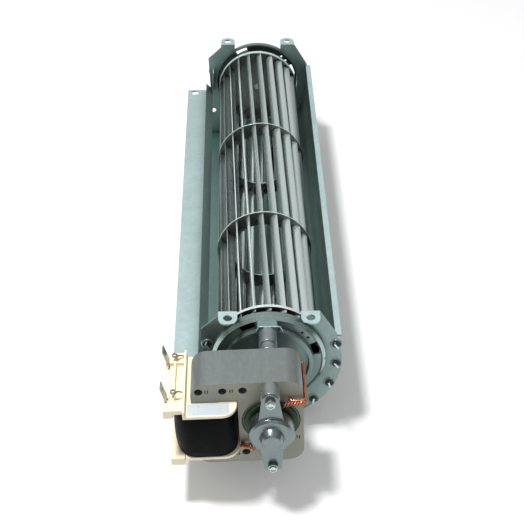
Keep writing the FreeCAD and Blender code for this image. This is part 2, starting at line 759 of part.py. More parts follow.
def blade_outline():
    """Section of a blade that points up: two arcs of one radius, one sheet thickness apart."""
    half = s.blade_sheet / 2
    return [
        chord.at(as_size(0), half),
        chord.at(chord.length, half) + (LEFT, chord.bend),
        chord.at(chord.length, -half),
        chord.at(as_size(0), -half) + (RIGHT, chord.bend),
    ]


def blade_slot():
    """Slot round a blade with four straight edges on each side, clear of its curved faces."""
    half = s.blade_sheet / 2 + s.slot_gap
    back = half + s.blade_camber / 10
    steps = [chord.length * step / 4 for step in (1, 2, 3)]
    corners = [chord.at(-s.slot_gap, back)]
    corners += [chord.at(step, chord.rise(step) + back) for step in steps]
    corners.append(chord.at(chord.length + s.slot_gap, back))
    corners.append(chord.at(chord.length + s.slot_gap, -half))
    corners += [chord.at(step, chord.rise(step) - half) for step in reversed(steps)]
    corners.append(chord.at(-s.slot_gap, -half))
    return corners


def blade_turn(y):
    """How far the blades are turned about the axis at y."""
    return s.blade_lead + s.blade_twist * (y - drum_start) / drum_length


def impeller_ring(label, y, bore, rim_side):
    """A ring or end disc with a slot for each blade. An end disc has a turned rim."""
    body = new_body(label, y=y)
    profile = [
        (bore, 0),
        (s.impeller_radius, 0),
        (s.impeller_radius, s.disc_sheet),
        (bore, s.disc_sheet),
    ]
    spin(body, "Revolution", profile)
    if rim_side:
        rim_inner = s.blade_outer + s.slot_gap
        rim = [
            (rim_inner, 0),
            (s.impeller_radius, 0),
            (s.impeller_radius, s.disc_rim * rim_side),
            (rim_inner, s.disc_rim * rim_side),
        ]
        spin(body, "Revolution", rim)
    turn = blade_turn(y + s.disc_sheet / 2)
    slot = extrude_y(body, "Pocket", 0, s.disc_sheet, turn, outlines=[blade_slot()])
    repeat_round(body, slot, s.blade_count)
    return keep(body)


def blade(number):
    """One strip blade, straight between the rings and turned a little more at each of them."""
    body = new_body(f"blade_{number + 1:02d}")
    first_turn = as_size(360 * number) / s.blade_count
    places = (drum_start - s.blade_tab, ring_motor_y, ring_free_y, drum_end + s.blade_tab)
    sections = []
    for y in places:
        turn = first_turn + blade_turn(y)
        sections.append(draw(body, "XZ_Plane", -y, turn, outlines=[blade_outline()]))
    loft = body.newObject("PartDesign::AdditiveLoft", f"{body.Name}_loft")
    loft.Profile = sections[0]
    loft.Sections = sections[1:]
    loft.Ruled = True
    return keep(body)


def turned(label, corners, x=0, y=0, z=0, turn=None):
    """A turned piece. Corners are radius and y from its own place."""
    body = new_body(label, x, y, z, turn)
    spin(body, "Revolution", corners)
    return body


def tube(inner, outer, length):
    """Profile of a plain tube."""
    return [(inner, 0), (outer, 0), (outer, length), (inner, length)]


def impeller():
    """Discs, rings, blades, drive hub and stub shaft."""
    hub_bore = s.hub_radius + s.fit_gap
    stub_bore = s.stub_radius + s.fit_gap
    impeller_ring("motor_side_disc", drum_start, hub_bore, 1)
    impeller_ring("ring_motor_side", ring_motor_y - s.disc_sheet / 2, s.ring_bore, 0)
    impeller_ring("ring_free_side", ring_free_y - s.disc_sheet / 2, s.ring_bore, 0)
    impeller_ring("free_side_disc", drum_end - s.disc_sheet, stub_bore, -1)
    for number in range(int(s.blade_count.number)):
        blade(number)
    hub = [
        (s.shaft_radius + s.fit_gap, -s.hub_proud),
        (s.hub_flange, -s.hub_proud),
        (s.hub_flange, 0),
        (s.hub_radius, 0),
        (s.hub_radius, s.hub_length),
        (s.shaft_radius + s.fit_gap, s.hub_length),
    ]
    keep(turned("drive_hub", hub, y=drum_start))
    reach = s.free_end_gap + s.lip_height
    stub = [
        (0, -s.disc_sheet - s.sheet),
        (s.stub_radius, -s.disc_sheet - s.sheet),
        (s.stub_radius, 0),
        (s.stub_flange, 0),
        (s.stub_flange, s.sheet * 2),
        (s.stub_radius, s.sheet * 2),
        (s.stub_radius, reach - s.sheet / 2),
        (s.stub_radius - s.sheet / 2, reach),
        (0, reach),
    ]
    keep(turned("stub_shaft", stub, y=drum_end))


def rotor():
    """Motor shaft, laminated rotor core and its two end rings."""
    front_end = bolt_head_y - s.cup_front - s.nose_height + s.cup_wall * 2
    back_end = drum_start + s.hub_length
    chamfer = s.sheet / 2
    shaft = [
        (0, 0),
        (s.shaft_radius - chamfer, 0),
        (s.shaft_radius, chamfer),
        (s.shaft_radius, back_end - front_end),
        (0, back_end - front_end),
    ]
    keep(turned("shaft", shaft, y=front_end))
    rotor_radius = s.bore_radius - s.air_gap
    core = tube(s.shaft_radius + s.fit_gap, rotor_radius, s.stack_depth)
    keep(turned("rotor_core", core, y=stack_front))
    end_ring = tube(s.cage_inner, rotor_radius - s.sheet / 2, s.cage_height)
    front = turned("cage_front", end_ring, y=stack_front - s.cage_height)
    back = turned("cage_back", end_ring, y=stack_back)
    group("rotor_cage", [front, back])


def stator():
    """Laminated C-shaped core, open on the left, and the separate leg through the coil."""
    body = new_body("stator_core", turn=s.motor_turn)
    radius = s.core_corner
    outline = [
        (-s.core_left, s.window_top),
        (-s.window_side, s.window_top),
        (-s.window_side, s.window_bottom),
        (-s.core_left, s.window_bottom),
        (-s.core_left, s.core_bottom + radius),
        (-s.core_left + radius, s.core_bottom, LEFT, radius),
        (s.core_right - radius, s.core_bottom),
        (s.core_right, s.core_bottom + radius, LEFT, radius),
        (s.core_right, s.core_top - radius),
        (s.core_right - radius, s.core_top, LEFT, radius),
        (-s.core_left + radius, s.core_top),
        (-s.core_left, s.core_top - radius, LEFT, radius),
    ]
    holes = [(0, 0, s.bore_radius)]
    for sign in (-1, 1):
        holes.append((0, s.bolt_spread * sign, s.bolt_hole))
    for z in (s.rivet_top, s.rivet_bottom):
        for x in (s.rivet_near, s.rivet_middle):
            holes.append((-x, z, s.rivet_hole))
    holes.append((-s.rivet_far, s.rivet_top, s.rivet_hole))
    wire_hole = s.shade_wire + s.fit_gap
    holes.append((s.shade_inner, s.shade_height, wire_hole))
    holes.append((-s.shade_inner, -s.shade_height, wire_hole))
    holes.append((-s.shade_inner - s.shade_span_low, -s.shade_height, wire_hole))
    extrude_y(body, "Pad", stack_front, s.stack_depth, outlines=[outline], circles=holes)
    keep(body)
    leg = new_body("coil_core", turn=s.motor_turn)
    bar = rectangle(-s.core_left, s.window_bottom, -s.leg_right, s.window_top)
    extrude_y(leg, "Pad", stack_front, s.stack_depth, outlines=[bar])
    keep(leg)


def shading_coil(label, left, span, z):
    """A closed loop of bare bar round one pole corner, swept round a rounded rectangle."""
    body = new_body(label, z=z, turn=s.motor_turn)
    low = stack_front - s.shade_overhang
    high = stack_back + s.shade_overhang
    path = draw(body, "XY_Plane",
                outlines=[rounded_rectangle(left, low, left + span, high, s.shade_bend)])
    octagon = []
    for number in range(8):
        angle = 22.5 + 45 * number
        octagon.append((left + s.shade_wire * cosine(angle), s.shade_wire * sine(angle)))
    section = draw(body, "XZ_Plane", -(low + high) / 2, outlines=[octagon])
    pipe = body.newObject("PartDesign::AdditivePipe", f"{body.Name}_pipe")
    pipe.Profile = section
    pipe.Spine = (path, [])
    return keep(body)


def bearing_bracket(label, strap_y, side, closed):
    """Pressed strap with two lugs and a round cup in the middle. The front one has a nose."""
    body = new_body(label, y=strap_y, turn=s.motor_turn)
    lug = s.lug_radius
    arm = [
        (-lug, -s.bolt_spread),
        (0, -s.bolt_spread - lug, LEFT, lug),
        (lug, -s.bolt_spread, LEFT, lug),
        (s.arm_half, -s.cup_radius * 0.8),
        (s.arm_half, s.cup_radius * 0.8),
        (lug, s.bolt_spread),
        (0, s.bolt_spread + lug, LEFT, lug),
        (-lug, s.bolt_spread, LEFT, lug),
        (-s.arm_half, s.cup_radius * 0.8),
        (-s.arm_half, -s.cup_radius * 0.8),
    ]
    bolts = [(0, s.bolt_spread, s.bolt_hole), (0, -s.bolt_spread, s.bolt_hole)]
    extrude_y(body, "Pad", 0, s.strap, outlines=[arm], circles=bolts)
    face = (s.strap + s.cup_front) if side > 0 else -s.cup_front
    back = -s.rear_cup_back if side > 0 else s.strap + s.cup_back
    wall = s.cup_wall * side
    edge = s.cup_bevel * side
    if closed:
        tip = face + s.nose_height * side
        outer = [
            (0, back),
            (s.cup_radius, back),
            (s.cup_radius, face - edge),
            (s.cup_radius - s.cup_bevel, face),
            (s.nose_base, face),
            (s.nose_tip, tip - s.nose_chamfer * side),
            (s.nose_tip - s.nose_chamfer, tip),
            (0, tip),
        ]
        inner = [
            (0, back),
            (s.cup_radius - s.cup_wall, back),
            (s.cup_radius - s.cup_wall, face - wall),
            (s.nose_base - s.cup_wall, face - wall),
            (s.nose_tip - s.cup_wall, tip - wall),
            (0, tip - wall),
        ]
    else:
        outer = [
            (0, back),
            (s.cup_radius, back),
            (s.cup_radius, face - edge),
            (s.cup_radius - s.cup_bevel, face),
            (0, face),
        ]
        inner = [
            (0, back),
            (s.cup_radius - s.cup_wall, back),
            (s.cup_radius - s.cup_wall, face - wall),
            (s.shaft_radius + s.sheet, face - wall),
            (s.shaft_radius + s.sheet, face),
            (0, face),
        ]
    spin(body, "Revolution", outer)
    spin(body, "Groove", inner)
    return keep(body)


def bearing(name, floor_y, side):
    """Sintered bush, oil felt and retainer, stacked inside a cup from its floor inwards."""
    cup_inner = s.cup_radius - s.cup_wall - s.fit_gap
    gap = s.fit_gap
    bush_y = floor_y if side > 0 else floor_y - s.bush_length
    bush_profile = tube(s.shaft_radius + s.shaft_run, s.bush_radius, s.bush_length)
    keep(turned(f"{name}_bush", bush_profile, y=bush_y))
    felt_y = floor_y if side > 0 else floor_y - s.felt_length
    felt = tube(s.bush_radius + gap, cup_inner, s.felt_length)
    keep(turned(f"{name}_felt", felt, y=felt_y))
    retainer_y = floor_y + s.felt_length if side > 0 else floor_y - s.felt_length - s.retainer_sheet
    retainer = tube(s.bush_radius + gap, cup_inner, s.retainer_sheet)
    keep(turned(f"{name}_retainer", retainer, y=retainer_y))


def bearings():
    """The two motor bearings and the one at the free end."""
    bearing_bracket("front_bracket", bolt_head_y, -1, True)
    bearing("front", bolt_head_y - s.cup_front + s.cup_wall, 1)
    bearing_bracket("rear_bracket", rear_sleeve_y, 1, False)
    bearing("rear", rear_strap_y + s.cup_front - s.cup_wall, -1)
    face_y = half_length + s.disc_height
    grommet_lip = s.sheet
    collar = s.grommet_bore + s.sheet * 2
    groove = s.grommet_bore - s.fit_gap
    core = s.bush_radius - s.sheet
    grommet = [
        (core + s.fit_gap, -s.sheet - grommet_lip - s.fit_gap),
        (collar, -s.sheet - grommet_lip - s.fit_gap),
        (collar, -s.sheet - s.fit_gap),
        (groove, -s.sheet - s.fit_gap),
        (groove, s.fit_gap),
        (collar, s.fit_gap),
        (collar, s.fit_gap + grommet_lip),
        (core + s.fit_gap, s.fit_gap + grommet_lip),
    ]
    keep(turned("free_end_grommet", grommet, y=face_y))
    bush_length = s.sheet + grommet_lip * 2 + s.fit_gap * 2
    bush_profile = tube(s.stub_radius + s.shaft_run, core, bush_length)
    keep(turned("free_end_bush", bush_profile, y=face_y - s.sheet - grommet_lip - s.fit_gap))


def fasteners():
    """Two long bolts with nuts hold brackets, core and sleeves to the motor side plate."""
    pad_inside = pad_y + s.sheet
    bolt_length = pad_inside + s.nut_height + s.sheet - bolt_head_y
    bevel = s.sheet / 2
    bolts = []
    nuts = []
    sleeves = {"front_sleeves": [], "rear_sleeves": [], "plate_sleeves": []}
    profile = [
        (0, -s.bolt_head_height),
        (s.bolt_head_radius - bevel, -s.bolt_head_height),
        (s.bolt_head_radius, -s.bolt_head_height + bevel),
        (s.bolt_head_radius, 0),
        (s.bolt_radius, 0),
        (s.bolt_radius, bolt_length),
        (0, bolt_length),
    ]
    corner = s.nut_flat * 2 / math.sqrt(3)
    hexagon = []
    for number in range(6):
        hexagon.append((corner * cosine(60 * number), corner * sine(60 * number)))
    bore = s.bolt_radius + s.fit_gap
    for name, sign in (("upper", 1), ("lower", -1)):
        z = s.bolt_spread * sign
        bolts.append(turned(f"bolt_{name}", profile, y=bolt_head_y, z=z, turn=s.motor_turn))
        nut = new_body(f"nut_{name}", y=pad_inside, z=z, turn=s.motor_turn)
        extrude_y(nut, "Pad", 0, s.nut_height, outlines=[hexagon], circles=[(0, 0, bore)])
        nuts.append(nut)
        for label, y, length in (("front_sleeves", front_strap_y, s.front_sleeve),
                                 ("rear_sleeves", stack_back, s.rear_sleeve),
                                 ("plate_sleeves", rear_strap_y, s.plate_sleeve)):
            pipe = tube(s.bolt_hole, s.sleeve_radius, length)
            sleeve = turned(f"{label}_{name}", pipe, y=y, z=z, turn=s.motor_turn)
            sleeves[label].append(sleeve)
    group("motor_bolts", bolts)
    group("motor_nuts", nuts)
    for label, pieces in sleeves.items():
        group(label, pieces)


def coil():
    """Bobbin with flanges, fence, terminal block and foot, the taped winding on it and its label."""
    front = stack_front - s.coil_overhang
    back = stack_back + s.coil_overhang
    gap = s.fit_gap
    hollow = rectangle(-s.core_left - gap, stack_front - gap, -s.leg_right + gap, stack_back + gap)
    wall = s.bobbin_wall + gap
    tube_outline = rectangle(-s.core_left - wall, stack_front - wall,
                             -s.leg_right + wall, stack_back + wall)
    low = s.window_bottom + gap
    high = s.window_top - gap
    flange = rounded_rectangle(-s.bobbin_left - s.fence_wall, front, -s.bobbin_right - gap, back,
                               s.bobbin_corner)
    flange = [(-s.bobbin_left - s.fence_wall, front)] + flange[:-3] + [
        (-s.bobbin_left - s.fence_wall, back)]
    body = new_body("coil_bobbin", turn=s.motor_turn)
    extrude_z(body, "Pad", low, high - low, outlines=[tube_outline])
    extrude_z(body, "Pad", high - s.flange_thick, s.flange_thick, outlines=[flange])
    extrude_z(body, "Pad", low, s.flange_thick, outlines=[flange])
    under = high - s.flange_thick
    block_top = high + s.block_rise
    block_front = stack_front - s.block_front
    block_back = stack_back + s.block_back
    fence = rectangle(-s.bobbin_left - s.fence_wall, front, -s.bobbin_left, block_back)
    extrude_z(body, "Pad", under, s.fence_top - under, outlines=[fence])
    block = rectangle(-s.block_left, block_front, -s.bobbin_left - s.fence_wall, block_back)
    extrude_z(body, "Pad", under, block_top - under, outlines=[block])
    beam = rectangle(-s.block_left, block_front, -s.coil_left - s.bobbin_wall / 2, block_back)
    extrude_z(body, "Pad", s.block_bottom, block_top - s.block_bottom, outlines=[beam])
    middle = -(s.block_left + s.bobbin_left + s.fence_wall) / 2
    pocket_low = block_front + s.block_end
    pocket_high = block_back - s.block_end
    right_pocket = rectangle(middle + s.block_rib / 2, pocket_low,
                             -s.bobbin_left - s.fence_wall, pocket_high)
    left_pocket = rectangle(-s.block_left, pocket_low, middle - s.block_rib / 2, pocket_high)
    extrude_z(body, "Pocket", block_top - s.block_notch, s.block_notch,
              outlines=[right_pocket, left_pocket])
    foot_right = -s.foot_left_x + s.foot_width
    foot = rectangle(-s.foot_left_x, front, foot_right, block_back)
    extrude_z(body, "Pad", low - s.foot_height + s.flange_thick, s.foot_height, outlines=[foot])
    web = rectangle(foot_right, stack_front, -s.bobbin_left, stack_back)
    extrude_z(body, "Pad", low, s.flange_thick, outlines=[web])
    extrude_z(body, "Pocket", low, high - low, outlines=[hollow])
    for spade_y in spade_places():
        slot = rectangle(spade_x() - s.spade_sheet / 2 - gap, spade_y - s.spade_width / 2 - gap,
                         spade_x() + s.spade_sheet / 2 + gap, spade_y + s.spade_width / 2 + gap)
        extrude_z(body, "Pocket", block_top - s.spade_depth, s.spade_depth, outlines=[slot])
    keep(body)
    winding = new_body("coil_winding", turn=s.motor_turn)
    outline = rounded_rectangle(-s.coil_left, front - gap, -s.coil_right, back + gap, s.coil_corner)
    core_wall = wall + gap
    opening = rectangle(-s.core_left - core_wall, stack_front - core_wall,
                        -s.leg_right + core_wall, stack_back + core_wall)
    bottom = low + s.flange_thick + gap
    top = high - s.flange_thick - gap
    extrude_z(winding, "Pad", bottom, top - bottom, outlines=[outline, opening])
    keep(winding)
    label = new_body("rating_label", turn=s.motor_turn)
    place = rectangle(-s.bobbin_left + s.sheet, front + s.sheet, -s.bobbin_right - 4, stack_front - 1)
    extrude_z(label, "Pad", high, s.label_sheet, outlines=[place])
    keep(label)


def spade_x():
    return -s.block_left + s.spade_sheet * 2


def spade_places():
    """Middles of the two spade terminals along the block."""
    return (stack_front + s.spade_width / 2, stack_back + s.block_back - s.block_end + s.sheet)


def spade(label, y):
    """A flat terminal with rounded corners and a hole, bent over to the left above the block."""
    z = s.window_top - s.fit_gap + s.block_rise
    body = new_body(label, x=spade_x(), y=y, z=z, turn=s.motor_turn)
    half = s.spade_width / 2
    stem = [
        (s.spade_sheet / 2, -s.spade_depth + s.fit_gap),
        (s.spade_sheet / 2, 0),
        (s.spade_sheet / 2 - s.spade_height * sine(s.spade_lean), s.spade_height),
        (-s.spade_sheet / 2 - s.spade_height * sine(s.spade_lean), s.spade_height),
        (-s.spade_sheet / 2, 0),
        (-s.spade_sheet / 2, -s.spade_depth + s.fit_gap),
    ]
    extrude_y(body, "Pad", -half, s.spade_width, outlines=[stem])
    sketch = draw(body, "YZ_Plane", -s.spade_height,
                  circles=[(0, s.spade_height - half * 0.8, s.spade_hole)])
    hole = body.newObject("PartDesign::Pocket", f"{body.Name}_hole")
    hole.Profile = sketch
    hole.Reversed = True
    bind(hole, "Length", s.spade_height * 2)
    return keep(body)


end_plate("motor_end_plate", -1, s.plate_bore, True)
end_plate("free_end_plate", 1, s.grommet_bore, False)
scroll_sheet()
tongue_sheet()
impeller()
rotor()
stator()
shading_coil("shading_coil_upper", s.shade_inner, s.shade_span, s.shade_height)
shading_coil("shading_coil_lower", -s.shade_inner - s.shade_span_low, s.shade_span_low,
             -s.shade_height)
bearings()
fasteners()
coil()
for spade_label, spade_y in zip(("terminal_front", "terminal_rear"), spade_places()):
    spade(spade_label, spade_y)
doc.recompute()

for item in doc.Objects:
    if "Invalid" in item.State or "Error" in item.State:
        raise RuntimeError(f"{item.Label} could not be computed")
for label, item in sub_parts.items():
    if item.Shape.isNull() or not item.Shape.isValid():
        raise RuntimeError(f"{label} has no valid shape")

os.makedirs("parts", exist_ok=True)
for label, item in sub_parts.items():
    item.Shape.exportStep(f"parts/{label}.step")
print(len(sub_parts), "sub-parts written")
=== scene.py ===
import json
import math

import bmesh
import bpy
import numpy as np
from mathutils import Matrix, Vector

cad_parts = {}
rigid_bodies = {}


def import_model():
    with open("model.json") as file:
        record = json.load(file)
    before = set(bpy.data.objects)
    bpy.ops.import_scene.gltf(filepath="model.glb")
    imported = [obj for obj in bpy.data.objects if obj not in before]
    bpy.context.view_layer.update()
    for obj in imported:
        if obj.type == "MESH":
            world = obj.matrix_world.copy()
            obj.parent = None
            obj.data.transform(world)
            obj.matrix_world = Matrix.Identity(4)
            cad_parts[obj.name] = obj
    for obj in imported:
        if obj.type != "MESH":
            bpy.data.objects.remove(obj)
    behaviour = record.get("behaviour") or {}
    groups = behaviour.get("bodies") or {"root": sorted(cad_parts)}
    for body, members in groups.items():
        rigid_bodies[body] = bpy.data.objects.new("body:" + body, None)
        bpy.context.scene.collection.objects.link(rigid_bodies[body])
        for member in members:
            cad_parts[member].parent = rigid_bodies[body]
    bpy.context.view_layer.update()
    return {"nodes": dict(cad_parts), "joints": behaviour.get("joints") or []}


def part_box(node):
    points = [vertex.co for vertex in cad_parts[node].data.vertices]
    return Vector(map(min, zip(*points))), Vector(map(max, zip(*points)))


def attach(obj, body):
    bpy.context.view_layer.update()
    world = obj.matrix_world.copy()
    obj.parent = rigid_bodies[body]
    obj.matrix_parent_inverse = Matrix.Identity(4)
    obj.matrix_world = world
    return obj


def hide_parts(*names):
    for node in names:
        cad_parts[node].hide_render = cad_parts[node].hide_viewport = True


bl_info = {
    "name": "Cross flow fan dressing",
    "version": (1, 0, 0),
    "blender": (4, 5, 0),
    "location": "View3D > Sidebar > Fan",
    "description": "Dresses a packed cross flow fan with its finished surfaces, materials and studio",
    "category": "Object",
}

for left_over in list(bpy.data.objects):
    bpy.data.objects.remove(left_over)
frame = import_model()

MM = 0.001
AXIS_Z = frame["joints"][0]["pos_m"][2]
HOUSING = "housing"
IMPELLER = "impeller"
WINDING_LOW = np.array((-51.0, -223.55, -46.6)) * MM
WINDING_HIGH = np.array((-18.3, -176.95, -17.5)) * MM
WINDING_CORNER = 10.8 * MM
ROUND_EDGES_FROM = math.radians(28)
FLAT_WITHIN = math.radians(0.8)
WELD_DISTANCE = 3e-6
MERGE_DISTANCE = 2e-6


def colour_property(name, description, default):
    """A colour that a user may change, as linear red, green and blue."""
    return bpy.props.FloatVectorProperty(
        name=name, description=description, subtype="COLOR", size=3, min=0, max=1, default=default)


def length_property(name, description, millimetres):
    """A length that a user may change, kept in metres."""
    return bpy.props.FloatProperty(
        name=name, description=description, unit="LENGTH", default=millimetres * MM)


def angle_property(name, description, degrees):
    """An angle that a user may change, kept in radians."""
    return bpy.props.FloatProperty(
        name=name, description=description, subtype="ANGLE", default=math.radians(degrees))


def place_property(name, description, default):
    """A place that a user may change, in metres."""
    return bpy.props.FloatVectorProperty(
        name=name, description=description, subtype="TRANSLATION", size=3, default=default)


class FanHousingSettings(bpy.types.PropertyGroup):
    # Painted light: a lighter copy of the galvanised finish for up-facing faces, where light falls on the
    # tops.
    sheet: colour_property("Light sheet", "Colour of the flat tops of the housing", (0.67, 0.86, 0.86))
    pressed: colour_property("Pressed sheet", "Colour of the end plates", (0.27, 0.37, 0.35))
    # Painted shade: a darker copy of the galvanised finish for the scroll, for the shade on its inner wall.
    rolled: colour_property("Rolled sheet", "Colour of the scroll", (0.17, 0.24, 0.22))
    # Painted light: a lighter copy of the galvanised finish for the lit outlet floor.
    outlet: colour_property("Outlet floor", "Colour of the outlet floor", (0.45, 0.62, 0.58))
    # Painted highlight: the plates' ring crests are plain galvanised sheet; this brighter colour stands for
    # the light they catch.
    crest: colour_property("Crests", "Colour of the polished crests of the plates", (0.37, 0.47, 0.44))
    edge: length_property("Sheet edge", "Rounding of the cut edges of the sheet", 0.16)
    rubber: colour_property("Rubber", "Colour of the grommet", (0.02, 0.02, 0.02))
    # Painted shade: a dark disc laid round each staking tab for the shade in its pressed recess.
    recess: colour_property("Tab recess", "Colour of the floor round a staking tab", (0.060, 0.078, 0.072))
    twist: angle_property("Tab twist", "Turn of the staking tabs' ends", 38)


class FanImpellerSettings(bpy.types.PropertyGroup):
    strip: colour_property("Blade strip", "Colour of the blades", (0.80, 0.94, 0.90))
    disc: colour_property("Disc", "Colour of the edges of discs and rings", (0.68, 0.80, 0.77))
    # Painted shade: the sides of discs and rings are darker copies of the disc steel for the shade on them;
    # the near disc's side is partly its own dark brown.
    near_side_brown_and_shade: colour_property("Near disc side", "Colour of the driven disc's sides", (0.17, 0.125, 0.115))
    far_side_shade: colour_property("Far disc side", "Colour of the far disc's sides", (0.30, 0.32, 0.30))
    ring_side_shade: colour_property("Ring side", "Colour of the rings' sides", (0.15, 0.165, 0.155))
    hub: colour_property("Hub", "Colour of the hub moulding", (0.10, 0.025, 0.018))
    outer: length_property("Outer edge", "Axis to the outer edge of a blade", 29.3)
    inner: length_property("Inner edge", "Axis to the inner edge of a blade", 22.2)
    camber: length_property("Camber", "Height of the blade's curve over its chord", 1.7)
    thickness: length_property("Strip thickness", "Thickness of the blade strip", 0.5)
    tab: length_property("Tab", "Blade past the end discs", 2.2)
    lag: angle_property("Lag", "Angle by which the inner edge trails", 6.5)
    lead: angle_property("Lead", "Turn of the blades at the motor end", -2.9)
    twist: angle_property("Twist", "Twist of the blades from end to end", 15.7)
    count: bpy.props.IntProperty(name="Blades", description="Number of blades", default=21)


class FanMotorSettings(bpy.types.PropertyGroup):
    core_edge: colour_property("Core edge", "Colour of the ground core edges", (0.22, 0.25, 0.245))
    core_face: colour_property("Core face", "Colour of the core's flat faces", (0.285, 0.29, 0.245))
    plastic: colour_property("Bobbin", "Colour of the bobbin moulding", (0.92, 0.83, 0.62))
    tape: colour_property("Tape", "Colour of the winding tape", (0.0022, 0.0032, 0.0028))
    copper: colour_property("Copper", "Colour of the bare copper", (0.54, 0.22, 0.13))
    zinc: colour_property("Zinc plate", "Colour of brackets, nuts and retainers", (0.205, 0.245, 0.247))
    sleeve: colour_property("Sleeve", "Colour of the turned sleeves", (0.44, 0.50, 0.49))
    bright: colour_property("Bright zinc", "Colour of the bolt heads", (0.58, 0.67, 0.63))
    tin: colour_property("Tinned brass", "Colour of the terminals", (0.42, 0.41, 0.36))
    film: colour_property("Label", "Colour of the bare label film", (0.60, 0.67, 0.71))
    bronze: colour_property("Bronze", "Colour of the bearing bushes", (0.42, 0.27, 0.12))
    felt: colour_property("Felt", "Colour of the oiled felts", (0.30, 0.24, 0.15))
    cage: colour_property("Cage", "Colour of the rotor's cast end rings", (0.045, 0.08, 0.045))
    # Painted shade: the dark of the pressed interlock dimples on the core's front face.
    dimple_shade: colour_property("Punch marks", "Colour of the marks on the core", (0.045, 0.042, 0.035))
    bolt_pitch: length_property("Bolt pitch", "Distance between the two motor bolts", 48.0)
    bulge: length_property("Bulge", "Swelling of the taped winding between the flanges", 0.9)
    turn: angle_property("Motor turn", "Turn of the motor about the axis", 2.5)


class FanStageSettings(bpy.types.PropertyGroup):
    key_power: bpy.props.FloatProperty(name="Key light", description="Power in watts", default=18.5)
    key_size: length_property("Key size", "Side of the key light", 180.0)
    key_place: place_property("Key place", "Middle of the key light", (-0.36, -0.15, 1.29))
    fill_power: bpy.props.FloatProperty(name="Fill light", description="Power in watts", default=0.6)
    fill_size: length_property("Fill size", "Side of the fill light", 600.0)
    fill_place: place_property("Fill place", "Middle of the fill light", (0.10, -0.95, 0.35))
    zenith: bpy.props.FloatProperty(name="Zenith", description="Room light from above", default=0.58)
    horizon: bpy.props.FloatProperty(name="Horizon", description="Room light from the sides", default=0.10)
    floor_glow: bpy.props.FloatProperty(
        name="Floor glow", description="Light that the floor adds to camera and mirror rays", default=0.13)
    focal: bpy.props.FloatProperty(
        name="Focal length", description="Lens in millimetres on a 36 mm sensor", default=79.0)
    camera_place: place_property("Camera place", "Where the camera stands", (-0.0183, -0.64695, 0.4149))
    yaw: angle_property("Yaw", "Turn of the view to the right", 1.66)
    pitch: angle_property("Pitch", "Tilt of the view below level", 37.93)
    roll: angle_property("Roll", "Turn of the camera about its view", 0.56)


class Finish:
    """A material under construction: one Principled shader and short ways to add nodes to it."""

    # Places of a Mix node's two colour inputs and its colour output among its sockets.
    MIX_A = 6
    MIX_B = 7
    MIX_OUT = 2

    def __init__(self, name, colour, metallic, roughness):
        self.material = bpy.data.materials.new(f"fan_{name}")
        self.material.use_nodes = True
        self.tree = self.material.node_tree
        self.shader = next(n for n in self.tree.nodes if n.type == "BSDF_PRINCIPLED")
        self.colour = tuple(colour) + (1.0,)
        self.shader.inputs["Base Color"].default_value = self.colour
        self.shader.inputs["Metallic"].default_value = metallic
        self.shader.inputs["Roughness"].default_value = roughness
        self.place = self.node("ShaderNodeTexCoord").outputs["Object"]

    def node(self, kind, **values):
        """A node, with its plain attributes set by name and its sockets by socket name."""
        made = self.tree.nodes.new(kind)
        for key, value in values.items():
            if hasattr(made, key):
                setattr(made, key, value)
            else:
                made.inputs[key.replace("_", " ").title()].default_value = value
        return made

    def link(self, output, entry):
        self.tree.links.new(output, entry)

    def stretched(self, scale):
        """Object coordinates scaled by axis, in pattern repeats for each metre."""
        mapping = self.node("ShaderNodeMapping", vector_type="POINT")
        mapping.inputs["Scale"].default_value = scale
        self.link(self.place, mapping.inputs["Vector"])
        return mapping.outputs["Vector"]

    def noise(self, scale, detail=3.0, roughness=0.5):
        noise = self.node("ShaderNodeTexNoise", detail=detail, roughness=roughness, scale=1.0)
        self.link(self.stretched(scale), noise.inputs["Vector"])
        return noise.outputs["Fac"]

    def cells(self, scale):
        """A random grey for each cell of a grain pattern."""
        cells = self.node("ShaderNodeTexVoronoi", feature="F1")
        cells.inputs["Scale"].default_value = 1.0
        self.link(self.stretched(scale), cells.inputs["Vector"])
        grey = self.node("ShaderNodeSeparateColor")
        self.link(cells.outputs["Color"], grey.inputs["Color"])
        return grey.outputs["Red"]

    def ranged(self, value, low, high, start=0.3, end=0.7):
        """A value moved from the range start to end into the range low to high."""
        ranged = self.node("ShaderNodeMapRange")
        for name, number in (("From Min", start), ("From Max", end), ("To Min", low), ("To Max", high)):
            ranged.inputs[name].default_value = number
        self.link(value, ranged.inputs["Value"])
        return ranged.outputs["Result"]

    def shade(self, *values):
        """Multiply the base colour by one or more greys."""
        current = None
        for value in values:
            mix = self.node("ShaderNodeMix", data_type="RGBA", blend_type="MULTIPLY")
            mix.inputs["Factor"].default_value = 1.0
            if current is None:
                mix.inputs[self.MIX_A].default_value = self.colour
            else:
                self.link(current, mix.inputs[self.MIX_A])
            self.link(value, mix.inputs[self.MIX_B])
            current = mix.outputs[self.MIX_OUT]
        self.link(current, self.shader.inputs["Base Color"])

    def shut_in(self, distance):
        """How open the surface is to its surroundings within a distance, from 0 to 1."""
        shut_in = self.node("ShaderNodeAmbientOcclusion", samples=6)
        shut_in.inputs["Distance"].default_value = distance
        return shut_in.outputs["AO"]

    def bands(self, direction, scale, distortion):
        """Soft waves across an axis."""
        bands = self.node("ShaderNodeTexWave", wave_type="BANDS", bands_direction=direction)
        bands.inputs["Scale"].default_value = scale
        bands.inputs["Distortion"].default_value = distortion
        self.link(self.place, bands.inputs["Vector"])
        return bands.outputs["Fac"]

    def rough(self, value):
        self.link(value, self.shader.inputs["Roughness"])

    def bump(self, value, strength, distance):
        bump = self.node("ShaderNodeBump")
        bump.inputs["Strength"].default_value = strength
        bump.inputs["Distance"].default_value = distance
        self.link(value, bump.inputs["Height"])
        self.link(bump.outputs["Normal"], self.shader.inputs["Normal"])


